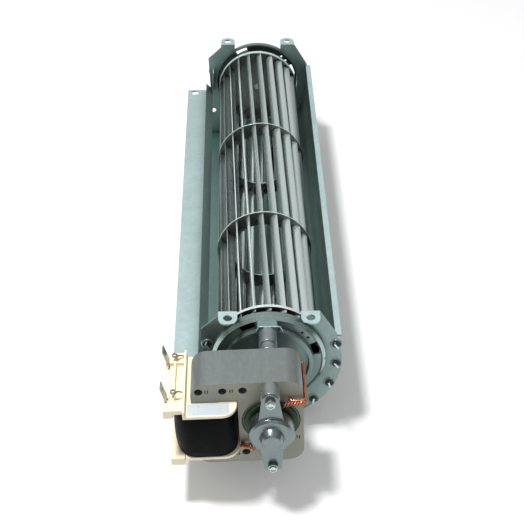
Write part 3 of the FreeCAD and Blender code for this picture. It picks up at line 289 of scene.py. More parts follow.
def galvanised_finish(name, colour):
    """Zinc-coated sheet: soft spangle, faint cloudiness, uneven gloss, and painted shade in its corners."""
    finish = Finish(name, colour, 0.75, 0.38)
    spangle = finish.ranged(finish.cells((320, 320, 320)), 0.96, 1.03, 0.0, 1.0)
    cloud = finish.ranged(finish.noise((45, 18, 45)), 0.96, 1.03)
    # Painted shade: the colour darkens where the surface is shut in.
    corners = finish.ranged(finish.shut_in(0.014), 0.35, 1.0, 0.2, 0.9)
    finish.shade(spangle, cloud, corners)
    finish.rough(finish.ranged(finish.noise((160, 160, 160)), 0.32, 0.42))
    finish.bump(finish.noise((900, 900, 900)), 0.12, 0.00008)
    return finish.material


def strip_finish(name, colour, roughness, metallic=0.85):
    """Rolled strip: fine streaks along the rolling direction, and painted shade where it is shut in."""
    finish = Finish(name, colour, metallic, roughness)
    streak = finish.noise((700, 9, 700), 3.0)
    cloud = finish.noise((60, 25, 60))
    # Painted shade: the colour darkens where the surface is shut in.
    painted_depth_shade = finish.ranged(finish.shut_in(0.060), 0.08, 1.12, 0.18, 0.47)
    finish.shade(finish.ranged(streak, 0.96, 1.03), finish.ranged(cloud, 0.94, 1.04), painted_depth_shade)
    finish.rough(finish.ranged(streak, roughness - 0.03, roughness + 0.05))
    finish.bump(streak, 0.05, 0.00005)
    return finish.material


def core_edge_finish(name, colour):
    """Ground edges of stacked laminations: streaks along Y and faint sheet lines across them."""
    finish = Finish(name, colour, 0.55, 0.42)
    streak = finish.noise((900, 9, 900), 5.0, 0.65)
    broad = finish.noise((110, 3, 110), 2.0)
    sheets = finish.bands("Y", 628.0, 0.4)
    lines = finish.ranged(sheets, 0.88, 1.02, 0.0, 1.0)
    grain = finish.ranged(finish.noise((700, 260, 700)), 0.92, 1.05)
    finish.shade(finish.ranged(streak, 0.95, 1.04), finish.ranged(broad, 0.95, 1.04), lines, grain)
    finish.rough(finish.ranged(streak, 0.41, 0.47))
    finish.bump(sheets, 0.15, 0.00006)
    return finish.material


def core_face_finish(name, colour):
    """Flat face of a lamination: dull rolled sheet with an oily cloudiness."""
    finish = Finish(name, colour, 0.35, 0.50)
    cloud = finish.noise((70, 70, 70), 4.0)
    grain = finish.noise((1400, 1400, 500))
    finish.shade(finish.ranged(cloud, 0.88, 1.08), finish.ranged(grain, 0.96, 1.03))
    finish.rough(finish.ranged(cloud, 0.42, 0.58))
    return finish.material


def plated_finish(name, colour, roughness):
    """Bright zinc plate over pressed or turned steel."""
    finish = Finish(name, colour, 0.92, roughness)
    cloud = finish.noise((220, 220, 220), 4.0)
    finish.shade(finish.ranged(cloud, 0.94, 1.05))
    finish.rough(finish.ranged(cloud, roughness - 0.03, roughness + 0.06))
    finish.bump(finish.noise((1800, 1800, 1800)), 0.10, 0.00004)
    return finish.material


def moulded_finish(name, colour, roughness):
    """Moulded plastic: slightly mottled, with a soft orange-peel surface."""
    finish = Finish(name, colour, 0.0, roughness)
    finish.shade(finish.ranged(finish.noise((140, 140, 140)), 0.95, 1.03))
    finish.rough(finish.ranged(finish.noise((500, 500, 500)), roughness - 0.05, roughness + 0.08))
    finish.bump(finish.noise((2500, 2500, 2500)), 0.10, 0.00005)
    return finish.material


def tape_finish(name, colour):
    """Black winding tape: smooth film with faint horizontal lays."""
    finish = Finish(name, colour, 0.0, 0.34)
    finish.shader.inputs["Specular IOR Level"].default_value = 0.05
    finish.rough(finish.ranged(finish.noise((180, 180, 420)), 0.38, 0.52))
    finish.bump(finish.bands("Z", 60.0, 1.5), 0.12, 0.00008)
    return finish.material


def wire_finish(name, colour):
    """Bare drawn copper with a little tarnish."""
    finish = Finish(name, colour, 0.95, 0.33)
    tarnish = finish.noise((420, 420, 420), 4.0)
    finish.shade(finish.ranged(tarnish, 0.72, 1.12))
    finish.rough(finish.ranged(tarnish, 0.26, 0.46))
    return finish.material


def film_finish(name, colour):
    """Bare silver-white label film."""
    finish = Finish(name, colour, 0.15, 0.30)
    finish.shade(finish.ranged(finish.noise((60, 60, 60)), 0.95, 1.04))
    finish.rough(finish.ranged(finish.noise((300, 300, 300)), 0.26, 0.38))
    return finish.material


def finish_named(name, make, *values):
    """A material by its name, made the first time it is asked for. The names start with fan_, so that
    none of them is the name of a CAD material."""
    return bpy.data.materials.get(f"fan_{name}") or make(name, *values)


def grid_faces(rows, columns, close_rows=True):
    """Four-sided faces between neighbouring points of a grid whose rows are closed loops. The last
    row is joined to the first one too, unless the grid is left open there."""
    row = np.arange(rows if close_rows else rows - 1)[:, None]
    column = np.arange(columns)[None, :]
    next_row = (row + 1) % rows
    next_column = (column + 1) % columns
    corners = (row * columns + column, row * columns + next_column,
               next_row * columns + next_column, next_row * columns + column)
    shape = (row.shape[0], column.shape[1])
    return np.stack([np.broadcast_to(corner, shape) for corner in corners], -1).reshape(-1, 4)


def capped_tube(grid):
    """The points and faces of a tube whose rows are closed loops, with one many-sided face at each end."""
    rows, columns = grid.shape[:2]
    first = np.arange(columns)[::-1].tolist()
    last = (np.arange(columns) + (rows - 1) * columns).tolist()
    return grid.reshape(-1, 3), grid_faces(rows, columns, close_rows=False).tolist() + [first, last]


def clean_normals(mesh):
    """Merge doubles and turn every face outwards."""
    work = bmesh.new()
    work.from_mesh(mesh)
    bmesh.ops.remove_doubles(work, verts=work.verts, dist=MERGE_DISTANCE)
    bmesh.ops.dissolve_degenerate(work, edges=work.edges, dist=MERGE_DISTANCE / 4)
    bmesh.ops.recalc_face_normals(work, faces=work.faces)
    work.to_mesh(mesh)
    work.free()


def place_piece(name, mesh, body, material, replaced, sharp):
    """An object for a finished mesh, with its finish, smooth faces, body and replaced nodes."""
    mesh.materials.append(material)
    mesh.shade_smooth()
    mesh.set_sharp_from_angle(angle=math.radians(sharp))
    piece = bpy.data.objects.new(name, mesh)
    bpy.context.scene.collection.objects.link(piece)
    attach(piece, body)
    if replaced:
        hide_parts(*replaced)
    return piece


def new_piece(name, points, faces, body, material, replaced=(), sharp=35):
    """A piece from arrays of points and faces."""
    mesh = bpy.data.meshes.new(name)
    mesh.from_pydata(np.asarray(points, float).tolist(), [], [list(map(int, face)) for face in faces])
    clean_normals(mesh)
    return place_piece(name, mesh, body, material, replaced, sharp)


def joined(parts):
    """Several grids of points and faces as one."""
    points = np.concatenate([np.asarray(part[0], float).reshape(-1, 3) for part in parts])
    faces = []
    start = 0
    for part in parts:
        faces += [[int(corner) + start for corner in face] for face in part[1]]
        start += len(np.asarray(part[0]).reshape(-1, 3))
    return points, faces


def softened(node, name, body, material, edge, segments=2):
    """A copy of a CAD solid with its facets merged, its flat faces made whole and its edges rounded."""
    mesh = frame["nodes"][node].data.copy()
    mesh.materials.clear()
    for attribute in [a.name for a in mesh.attributes if a.name == "custom_normal"]:
        mesh.attributes.remove(mesh.attributes[attribute])
    work = bmesh.new()
    work.from_mesh(mesh)
    bmesh.ops.remove_doubles(work, verts=work.verts, dist=WELD_DISTANCE)
    bmesh.ops.dissolve_limit(work, angle_limit=FLAT_WITHIN, verts=work.verts, edges=work.edges)
    work.to_mesh(mesh)
    work.free()
    mesh.name = name
    piece = place_piece(name, mesh, body, material, [node], 180)
    if edge > 0:
        bevel = piece.modifiers.new("edge_round", "BEVEL")
        bevel.width = edge
        bevel.segments = segments
        bevel.limit_method = "ANGLE"
        bevel.angle_limit = ROUND_EDGES_FROM
        bevel.harden_normals = True
        bevel.use_clamp_overlap = True
    return piece


def face_table(mesh):
    """The outward directions and the middles of a mesh's faces, as two arrays with a row for each."""
    directions = np.zeros(len(mesh.polygons) * 3)
    middles = np.zeros(len(mesh.polygons) * 3)
    mesh.polygons.foreach_get("normal", directions)
    mesh.polygons.foreach_get("center", middles)
    return directions.reshape(-1, 3), middles.reshape(-1, 3)


def paint_faces(mesh, material, chosen):
    """Give the chosen faces one more finish."""
    mesh.materials.append(material)
    slots = np.zeros(len(mesh.polygons), np.int32)
    mesh.polygons.foreach_get("material_index", slots)
    slots[chosen] = len(mesh.materials) - 1
    mesh.polygons.foreach_set("material_index", slots)


def paint_sides(piece, material):
    """Give the two flat sides of a piece that was stamped across the axis a finish of their own."""
    directions, middles = face_table(piece.data)
    paint_faces(piece.data, material, np.abs(directions[:, 1]) > 0.9)


def turned_about_axis(points, angle):
    """Points turned about the impeller axis, counter-clockwise seen from the motor."""
    x = points[..., 0]
    z = points[..., 2] - AXIS_Z
    turned = np.array(points, float)
    turned[..., 0] = x * np.cos(angle) - z * np.sin(angle)
    turned[..., 2] = x * np.sin(angle) + z * np.cos(angle) + AXIS_Z
    return turned


def blade_section(settings, steps=22):
    """A closed loop round one blade section. The middle line is a chord raised by a parabola,
    and the half thickness falls to nothing at both edges as a power of a sine."""
    angle = np.linspace(0, 2 * np.pi, steps, endpoint=False)
    along = (1 - np.cos(angle)) / 2
    side = np.sign(np.sin(angle)) * np.abs(np.sin(angle)) ** 0.3
    tip = np.array([0.0, settings.outer])
    foot = settings.inner * np.array([-math.sin(settings.lag), math.cos(settings.lag)])
    chord = (foot - tip) / np.linalg.norm(foot - tip)
    normal = np.array([chord[1], -chord[0]])
    rise = settings.camber * 4 * along * (1 - along) + settings.thickness / 2 * side
    loop = tip + (foot - tip) * along[:, None] + normal * rise[:, None]
    return np.stack([loop[:, 0], np.zeros(steps), loop[:, 1] + AXIS_Z], -1)


def blade_grid(settings, number, discs):
    """One blade: straight between the discs and rings, and turned in step with its place."""
    start, ring_one, ring_two, end = discs
    length = end - start
    places = np.array([start - settings.tab, ring_one, ring_two, end + settings.tab])
    base = 2 * np.pi * number / settings.count
    section = blade_section(settings)
    knots = []
    for place in places:
        turn = base + settings.lead + settings.twist * (place - start) / length
        knot = turned_about_axis(section, turn)
        knot[:, 1] = place
        knots.append(knot)
    rows = []
    for first, second in zip(knots[:-1], knots[1:]):
        share = np.linspace(0, 1, 8, endpoint=False)[:, None, None]
        rows.append(first + (second - first) * share)
    rows.append(knots[-1][None])
    return capped_tube(np.concatenate(rows))


def tube_grid(path, radius, steps):
    """A round tube along a line of points. Each ring is set by the line's own direction and a
    side direction carried along it, so the tube doesn't turn on itself."""
    path = np.asarray(path, float)
    after = np.vstack([path[1:], 2 * path[-1] - path[-2]])
    before = np.vstack([2 * path[0] - path[1], path[:-1]])
    tangent = after - before
    tangent /= np.linalg.norm(tangent, axis=1, keepdims=True)
    side = np.cross(tangent[0], (0.31, 0.23, 0.92))
    sides = []
    for direction in tangent:
        side = side - direction * np.dot(side, direction)
        side = side / np.linalg.norm(side)
        sides.append(side)
    side = np.array(sides)
    up = np.cross(tangent, side)
    angle = np.linspace(0, 2 * np.pi, steps, endpoint=False)
    ring = side[:, None] * np.cos(angle)[None, :, None] + up[:, None] * np.sin(angle)[None, :, None]
    return capped_tube(path[:, None] + ring * radius)


def smooth_line(points, count):
    """A smooth line through a few points, a Catmull-Rom curve with equal steps in each stretch."""
    points = np.asarray(points, float)
    padded = np.vstack([2 * points[0] - points[1], points, 2 * points[-1] - points[-2]])
    share = np.linspace(0, 1, count, endpoint=False)[:, None]
    rows = []
    for index in range(len(points) - 1):
        a, b, c, d = padded[index:index + 4]
        rows.append(0.5 * (2 * b + (c - a) * share + (2 * a - 5 * b + 4 * c - d) * share ** 2
                           + (3 * b - a - 3 * c + d) * share ** 3))
    return np.vstack([*rows, points[-1]])


def rounded_box_loop(low, high, radius, steps=10):
    """A rectangle with round corners as a closed line in the plane."""
    corners = [(high[0] - radius, high[1] - radius, 0.0), (low[0] + radius, high[1] - radius, 0.5),
               (low[0] + radius, low[1] + radius, 1.0), (high[0] - radius, low[1] + radius, 1.5)]
    angle = np.linspace(0, 0.5, steps)
    rows = []
    for x, y, start in corners:
        turn = np.pi * (start + angle)
        rows.append(np.stack([x + radius * np.cos(turn), y + radius * np.sin(turn)], -1))
    return np.concatenate(rows)


def lathe_grid(profile, centre, steps):
    """A closed profile of radius and y spun about a line along Y."""
    profile = np.asarray(profile, float)
    angle = np.linspace(0, 2 * np.pi, steps, endpoint=False)[:, None]
    x = centre[0] + profile[:, 0] * np.cos(angle)
    z = centre[1] + profile[:, 0] * np.sin(angle)
    y = np.broadcast_to(profile[:, 1], x.shape)
    return np.stack([x, y, z], -1).reshape(-1, 3), grid_faces(steps, len(profile)).tolist()


class FAN_OT_housing(bpy.types.Operator):
    """End plates, scroll sheet, tongue sheet and the grommet of the free end"""
    bl_idname = "fan.housing"
    bl_label = "Housing"

    def execute(self, context):
        settings = context.scene.fan_housing
        # Painted light: the lit copy of the galvanised finish, for the housing's up-facing tops.
        sheet = finish_named("galvanised_sheet", galvanised_finish, settings.sheet)
        pressed = finish_named("pressed_sheet", galvanised_finish, settings.pressed)
        # Painted highlight for the crests of the plates' pressed rings.
        crest = finish_named("crest_sheet", plated_finish, settings.crest, 0.21)
        # Painted shade: the scroll's darker copy of the galvanised finish.
        rolled = finish_named("rolled_sheet", galvanised_finish, settings.rolled)
        outlet = finish_named("outlet_sheet", galvanised_finish, settings.outlet)
        # Painted shade for the recesses round the staking tabs.
        shadow = finish_named("recess", moulded_finish, settings.recess, 0.7)
        for node in ("motor_end_plate", "free_end_plate"):
            piece = softened(node, f"{node}_pressed", HOUSING, pressed, settings.edge)
            self.paint_lit_tops(piece.data, sheet, 0.93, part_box(node)[1].z - 0.3 * MM)
            self.paint_crest_highlights(piece.data, crest)
        middles = []
        for node, finish, least in (("scroll_sheet", rolled, 0.4), ("tongue_sheet", pressed, 0.93)):
            piece = softened(node, f"{node}_pressed", HOUSING, finish, settings.edge)
            self.paint_lit_tops(piece.data, sheet, least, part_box(node)[1].z - 22 * MM)
            if node == "scroll_sheet":
                self.paint_lit_outlet(piece.data, outlet)
            middles += self.twist_tabs(piece.data, settings.twist)
        self.add_recesses(middles, pressed, shadow)
        self.add_pad_line(sheet)
        rubber = finish_named("grommet_rubber", moulded_finish, settings.rubber, 0.6)
        softened("free_end_grommet", "free_end_grommet_moulded", HOUSING, rubber, 0.2 * MM)
        return {"FINISHED"}

    def paint_lit_tops(self, mesh, sheet, least, lowest):
        """Give the faces above a height that lie flat enough, by the upright part of their direction,
        the lighter copy of the finish: painted light where light falls on the housing's tops."""
        directions, middles = face_table(mesh)
        paint_faces(mesh, sheet, (np.abs(directions[:, 2]) > least) & (middles[:, 2] > lowest))

    def paint_crest_highlights(self, mesh, crest):
        """Give the sloping faces at the crests of a plate's pressed rings a brighter finish, as a painted
        highlight.
        """
        directions, middles = face_table(mesh)
        slope = np.abs(directions[:, 1])
        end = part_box("scroll_sheet")[1].y - 1.9 * MM
        paint_faces(mesh, crest, (slope > 0.2) & (slope < 0.9) & (np.abs(middles[:, 1]) > end))

    def paint_lit_outlet(self, mesh, outlet):
        """Give the low faces that look up, as the outlet floor does, a lighter finish: painted light where
        light reaches the outlet floor.
        """
        directions, middles = face_table(mesh)
        paint_faces(mesh, outlet, (directions[:, 2] > 0.7) & (middles[:, 2] < AXIS_Z))

    def add_pad_line(self, sheet):
        """The bright turned edge of the plate over the upper motor pad: a thin tube along a line
        across the pad whose two ends turn down. Its light finish is a painted highlight on the bend."""
        front = -169.9 * MM
        top = AXIS_Z + 28.7 * MM
        half = [(0.0, 0.1), (5.4, 0.0), (6.3, -1.0), (7.4, -3.4)]
        outline = [(-x, z) for x, z in half[:0:-1]] + half
        path = smooth_line([(x * MM, front, top + z * MM) for x, z in outline], 6)
        points, faces = tube_grid(path, 0.3 * MM, 10)
        new_piece("pad_line", points, faces, HOUSING, sheet)

    def twist_tabs(self, mesh, angle):
        """Twist the outermost faces, which are the ends of the staking tabs, each about its own
        middle, and give those middles."""
        points = np.zeros(len(mesh.vertices) * 3)
        mesh.vertices.foreach_get("co", points)
        points = points.reshape(-1, 3)
        reach = np.abs(points[:, 1]).max()
        middles = []
        for face in mesh.polygons:
            if abs(face.center.y) < reach - 0.1 * MM:
                continue
            # Painted highlight: the tab ends take slot 1, the lighter copy of the finish given to the tops.
            face.material_index = 1
            corners = list(face.vertices)
            middle = points[corners].mean(0)
            middles.append(middle)
            x = points[corners, 0] - middle[0]
            z = points[corners, 2] - middle[2]
            points[corners, 0] = middle[0] + x * math.cos(angle) - z * math.sin(angle)
            points[corners, 2] = middle[2] + x * math.sin(angle) + z * math.cos(angle)
        mesh.vertices.foreach_set("co", points.ravel())
        mesh.update()
        return middles

    def add_recesses(self, middles, pressed, shadow):
        """A raised ring and a dark floor round each twisted tab, on the plates' outer faces; the dark floor
        is painted shade in the recess. Each is a profile of radius and height spun about the tab's middle
        line."""
        tab_height = 2.6 * MM
        ring = np.array([(2.5, -0.1), (2.7, 0.3), (3.0, 0.38), (3.3, 0.25), (3.5, -0.1)]) * MM
        floor = np.array([(0.0, -0.1), (2.55, -0.1), (2.55, 0.05), (0.0, 0.05)]) * MM
        for name, profile, material in (("tab_rings", ring, pressed), ("tab_recesses", floor, shadow)):
            parts = []
            for middle in middles:
                outwards = 1 if middle[1] > 0 else -1
                placed = profile.copy()
                placed[:, 1] = middle[1] + outwards * (profile[:, 1] - tab_height)
                parts.append(lathe_grid(placed, (middle[0], middle[2]), 32))
            points, faces = joined(parts)
            new_piece(name, points, faces, HOUSING, material)


class FAN_OT_impeller(bpy.types.Operator):
    """Blades, discs, rings, hub and stub shaft of the impeller"""
    bl_idname = "fan.impeller"
    bl_label = "Impeller"

    def execute(self, context):
        settings = context.scene.fan_impeller
        strip = finish_named("blade_strip", strip_finish, settings.strip, 0.22)
        disc = finish_named("disc_steel", strip_finish, settings.disc, 0.36, 0.5)
        hub = finish_named("hub_moulding", moulded_finish, settings.hub, 0.5)
        # Painted shade on the flat sides of discs and rings, darker than their edges; the driven disc's
        # side is partly its own brown.
        painted_side_shades = {
            "motor_side_disc": settings.near_side_brown_and_shade,
            "ring_motor_side": settings.ring_side_shade,
            "ring_free_side": settings.ring_side_shade,
            "free_side_disc": settings.far_side_shade,
        }
        ring_one = sum(corner.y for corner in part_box("ring_motor_side")) / 2
        ring_two = sum(corner.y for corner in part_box("ring_free_side")) / 2
        discs = (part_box("motor_side_disc")[0].y, ring_one, ring_two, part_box("free_side_disc")[1].y)
        blades = [blade_grid(settings, number, discs) for number in range(settings.count)]
        points, faces = joined(blades)
        nodes = [node for node in frame["nodes"] if node.startswith("blade_")]
        new_piece("impeller_blades", points, faces, IMPELLER, strip, nodes)
        for node, colour in painted_side_shades.items():
            piece = softened(node, f"{node}_stamped", IMPELLER, disc, 0.12 * MM)
            paint_sides(piece, finish_named(f"{node}_flat", strip_finish, colour, 0.45))
        softened("drive_hub", "drive_hub_moulded", IMPELLER, hub, 0.3 * MM)
        softened("stub_shaft", "stub_shaft_ground", IMPELLER, disc, 0.2 * MM)
        return {"FINISHED"}


class FAN_OT_motor_core(bpy.types.Operator):
    """Laminated core, coil leg, rotor and shaft"""
    bl_idname = "fan.motor_core"
    bl_label = "Motor core"

    def execute(self, context):
        settings = context.scene.fan_motor
        edge = finish_named("core_edge", core_edge_finish, settings.core_edge)
        face = finish_named("core_face", core_face_finish, settings.core_face)
        for node in ("stator_core", "coil_core"):
            piece = softened(node, f"{node}_stack", HOUSING, edge, 0.12 * MM)
            paint_sides(piece, face)
        self.add_dimples(settings)
        rotor = softened("rotor_core", "rotor_core_stack", IMPELLER, edge, 0.1 * MM)
        paint_sides(rotor, face)
        cage = finish_named("cage_cast", plated_finish, settings.cage, 0.5)
        softened("rotor_cage", "rotor_cage_cast", IMPELLER, cage, 0.3 * MM)
        steel = finish_named("disc_steel", strip_finish, context.scene.fan_impeller.disc, 0.36, 0.5)
        softened("shaft", "shaft_ground", IMPELLER, steel, 0.2 * MM)
        return {"FINISHED"}

    def add_dimples(self, settings):
        """Pairs of interlock dimples that hold the laminations, on the core's front face, drawn as small
        dark marks that are painted shade for the dimples: each a low block with round corners."""
        dark = finish_named("punch_mark", moulded_finish, settings.dimple_shade, 0.7)
        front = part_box("stator_core")[0].y
        pairs = ((-33.4, 23.0), (-20.3, 23.0), (-18.9, -24.6), (14.4, -13.5))
        half_gap = 0.65
        half_size = np.array([0.34, 1.2])
        parts = []
        for x, z in pairs:
            for middle in ((x - half_gap, z), (x + half_gap, z)):
                loop = rounded_box_loop(middle - half_size, middle + half_size, 0.2, 4) * MM
                height = loop[:, 1] + AXIS_Z
                rows = [np.stack([loop[:, 0], np.full(len(loop), front + depth * MM), height], -1)
                        for depth in (-0.05, 0.2)]
                parts.append(capped_tube(turned_about_axis(np.array(rows), settings.turn)))
        points, faces = joined(parts)
        new_piece("core_dimples", points, faces, HOUSING, dark)


class FAN_OT_brackets(bpy.types.Operator):
    """Bearing brackets, bushes, felts, retainers, bolts, nuts and sleeves"""
    bl_idname = "fan.brackets"
    bl_label = "Brackets and bolts"

    def execute(self, context):
        settings = context.scene.fan_motor
        zinc = finish_named("zinc_plate", plated_finish, settings.zinc, 0.27)
        bronze = finish_named("bush_bronze", plated_finish, settings.bronze, 0.45)
        felt = finish_named("oil_felt", moulded_finish, settings.felt, 0.9)
        sleeve = finish_named("sleeve_zinc", plated_finish, settings.sleeve, 0.27)
        bright = finish_named("bright_zinc", plated_finish, settings.bright, 0.24)
        for node in ("front_bracket", "rear_bracket"):
            softened(node, f"{node}_pressed", HOUSING, zinc, 0.3 * MM, segments=3)
        for node in ("front_sleeves", "rear_sleeves", "plate_sleeves"):
            softened(node, f"{node}_turned", HOUSING, sleeve, 0.25 * MM)
        for node in ("motor_bolts", "motor_nuts", "front_retainer", "rear_retainer"):
            softened(node, f"{node}_plated", HOUSING, zinc, 0.25 * MM)
        for node in ("front_bush", "rear_bush", "free_end_bush"):
            softened(node, f"{node}_sintered", HOUSING, bronze, 0.2 * MM)
        for node in ("front_felt", "rear_felt"):
            softened(node, f"{node}_oiled", HOUSING, felt, 0.3 * MM)
        self.add_bolt_heads(settings, bright)
        return {"FINISHED"}

    def add_bolt_heads(self, settings, bright):
        """Six-sided heads with a collar and a round dish, on the front ends of the motor bolts. A
        head is a stack of rings, each with a radius and a depth. The radius of a six-sided ring
        grows towards its corners as one over a cosine."""
        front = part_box("motor_bolts")[0].y
        steps = 36
        angle = np.linspace(0, 2 * np.pi, steps, endpoint=False)
        hexagon = math.cos(math.pi / 6) / np.cos((angle + math.pi / 6) % (math.pi / 3) - math.pi / 6)
        collar = ((2.6, 0.7), (2.6, 0.2))
        flats = ((2.5, 0.1), (2.5, -0.6), (2.2, -0.95))
        dish = ((1.5, -0.95), (1.3, -0.25), (0.1, -0.15))
        parts = []
        for side in (-1, 1):
            rows = []
            for rings, shape in ((collar, 1.0), (flats, hexagon), (dish, 1.0)):
                for radius, depth in rings:
                    x = radius * MM * shape * np.cos(angle)
                    z = radius * MM * shape * np.sin(angle) + AXIS_Z + side * settings.bolt_pitch / 2
                    rows.append(np.stack([x, np.full(steps, front + depth * MM), z], -1))
            parts.append(capped_tube(turned_about_axis(np.array(rows), settings.turn)))
        points, faces = joined(parts)
        new_piece("motor_bolt_heads", points, faces, HOUSING, bright, sharp=30)


class FAN_OT_coil(bpy.types.Operator):
    """Bobbin, taped winding, label and terminals"""
    bl_idname = "fan.coil"
    bl_label = "Coil"

    def execute(self, context):
        settings = context.scene.fan_motor
        plastic = finish_named("bobbin_plastic", moulded_finish, settings.plastic, 0.42)
        tin = finish_named("tinned_brass", plated_finish, settings.tin, 0.35)
        film = finish_named("label_film", film_finish, settings.film)
        tape = finish_named("winding_tape", tape_finish, settings.tape)
        copper = finish_named("bare_copper", wire_finish, settings.copper)
        softened("coil_bobbin", "coil_bobbin_moulded", HOUSING, plastic, 0.35 * MM)
        self.add_winding(settings, tape)
        softened("rating_label", "rating_label_bare", HOUSING, film, 0.06 * MM)
        for node in ("terminal_front", "terminal_rear"):
            softened(node, f"{node}_stamped", HOUSING, tin, 0.15 * MM)
            self.add_pin(node, tin, copper)
        return {"FINISHED"}

    def add_winding(self, settings, tape):
        """The taped winding: a tube with round corners between the two flanges. It swells as a
        parabola of the height, less on the side of the core, and draws in close to the flanges."""
        draw_in = 0.5 * MM
        core_side = 0.3
        rows = []
        for share in np.linspace(-1, 1, 17):
            swell = settings.bulge * (1 - share ** 2) - draw_in * share ** 8
            corner_low = (WINDING_LOW[0] - swell, WINDING_LOW[1] - swell)
            corner_high = (WINDING_HIGH[0] + swell * core_side, WINDING_HIGH[1] + swell)
            loop = rounded_box_loop(corner_low, corner_high, WINDING_CORNER + swell)
            height = (WINDING_LOW[2] + WINDING_HIGH[2]) / 2 + share * (WINDING_HIGH[2] - WINDING_LOW[2]) / 2
            rows.append(np.stack([loop[:, 0], loop[:, 1], np.full(len(loop), height)], -1))
        points, faces = capped_tube(turned_about_axis(np.array(rows), settings.turn))
        new_piece("coil_winding_taped", points, faces, HOUSING, tape, ["coil_winding"], 50)

    def add_pin(self, node, tin, copper):
        """The wrapped pin beside a terminal and the two copper leads that run from it to the winding.
        The wrap is a helix round the post, and the solder a bead spun about a line along Y."""
        low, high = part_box(node)
        foot = np.array([high.x + 3.0 * MM, (low.y + high.y) / 2 + 1.6 * MM, high.z - 7.6 * MM])
        post = foot + np.array([(0, 0, 0), (0, 0, 1.6), (-0.3, 0, 3.2)]) * MM
        turns = np.linspace(0, 6 * np.pi, 49)
        wrap = foot + np.stack([np.cos(turns) * 1.1, np.sin(turns) * 1.1, 0.6 + turns / 10], -1) * MM
        bead = np.array([(0.0, -0.8), (0.9, -0.5), (1.2, 0.1), (0.8, 0.7), (0.0, 0.9)]) * MM
        solder = lathe_grid(bead + (0, foot[1]), (foot[0] + 0.9 * MM, foot[2] + 0.8 * MM), 20)
        points, faces = joined([tube_grid(post, 0.5 * MM, 10), tube_grid(wrap, 0.36 * MM, 8), solder])
        new_piece(f"{node}_pin", points, faces, HOUSING, tin)
        route = np.array([(0.8, 0, 0.9), (2.2, 0.9, 0.7), (3.8, 1.3, 0.2), (5.6, 1.9, -1.2), (6, 2, -3)])
        wider_route = route * (1, 1.8, 1.3) + (0, -1.2, 0)
        first = tube_grid(smooth_line(foot + route * MM, 8), 0.35 * MM, 8)
        second = tube_grid(smooth_line(foot + wider_route * MM, 8), 0.3 * MM, 8)
        points, faces = joined([first, second])
        new_piece(f"{node}_lead", points, faces, HOUSING, copper)


class FAN_OT_shading_coils(bpy.types.Operator):
    """The two bare copper shading coils, each a loop whose front is twisted"""
    bl_idname = "fan.shading_coils"
    bl_label = "Shading coils"

    def execute(self, context):
        settings = context.scene.fan_motor
        copper = finish_named("bare_copper", wire_finish, settings.copper)
        for node in ("shading_coil_upper", "shading_coil_lower"):
            softened(node, f"{node}_drawn", HOUSING, copper, 0)
        low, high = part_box("shading_coil_upper")
        upper_start = (high.x, low.y, low.z + 1.1 * MM)
        upper_end = (low.x - 2.6 * MM, low.y - 0.7 * MM, low.z + 0.2 * MM)
        low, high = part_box("shading_coil_lower")
        lower_start = (low.x - 0.6 * MM, low.y, low.z + 1.3 * MM)
        lower_end = (high.x, low.y - 0.7 * MM, low.z + 0.4 * MM)
        strands = []
        for start, end, turns in ((upper_start, upper_end, 2.6), (lower_start, lower_end, 1.8)):
            strands += [self.strand(start, end, turns, phase) for phase in (0, 2.1, 4.2)]
        points, faces = joined(strands)
        new_piece("shading_coil_twists", points, faces, HOUSING, copper)
        return {"FINISHED"}

    def strand(self, start, end, turns, phase):
        """One wire of a twisted bundle: a helix about a straight line, whose radius grows with the
        cube of the way along, so that the bundle opens a little at its far end."""
        share = np.linspace(0, 1, 44)[:, None]
        line = np.array(start) + (np.array(end) - np.array(start)) * share
        angle = phase + 2 * np.pi * turns * share
        reach = (0.62 + 0.9 * share ** 3) * MM
        side = np.concatenate([0 * share, np.cos(angle) * reach, np.sin(angle) * reach], 1)
        return tube_grid(line + side, 0.46 * MM, 10)


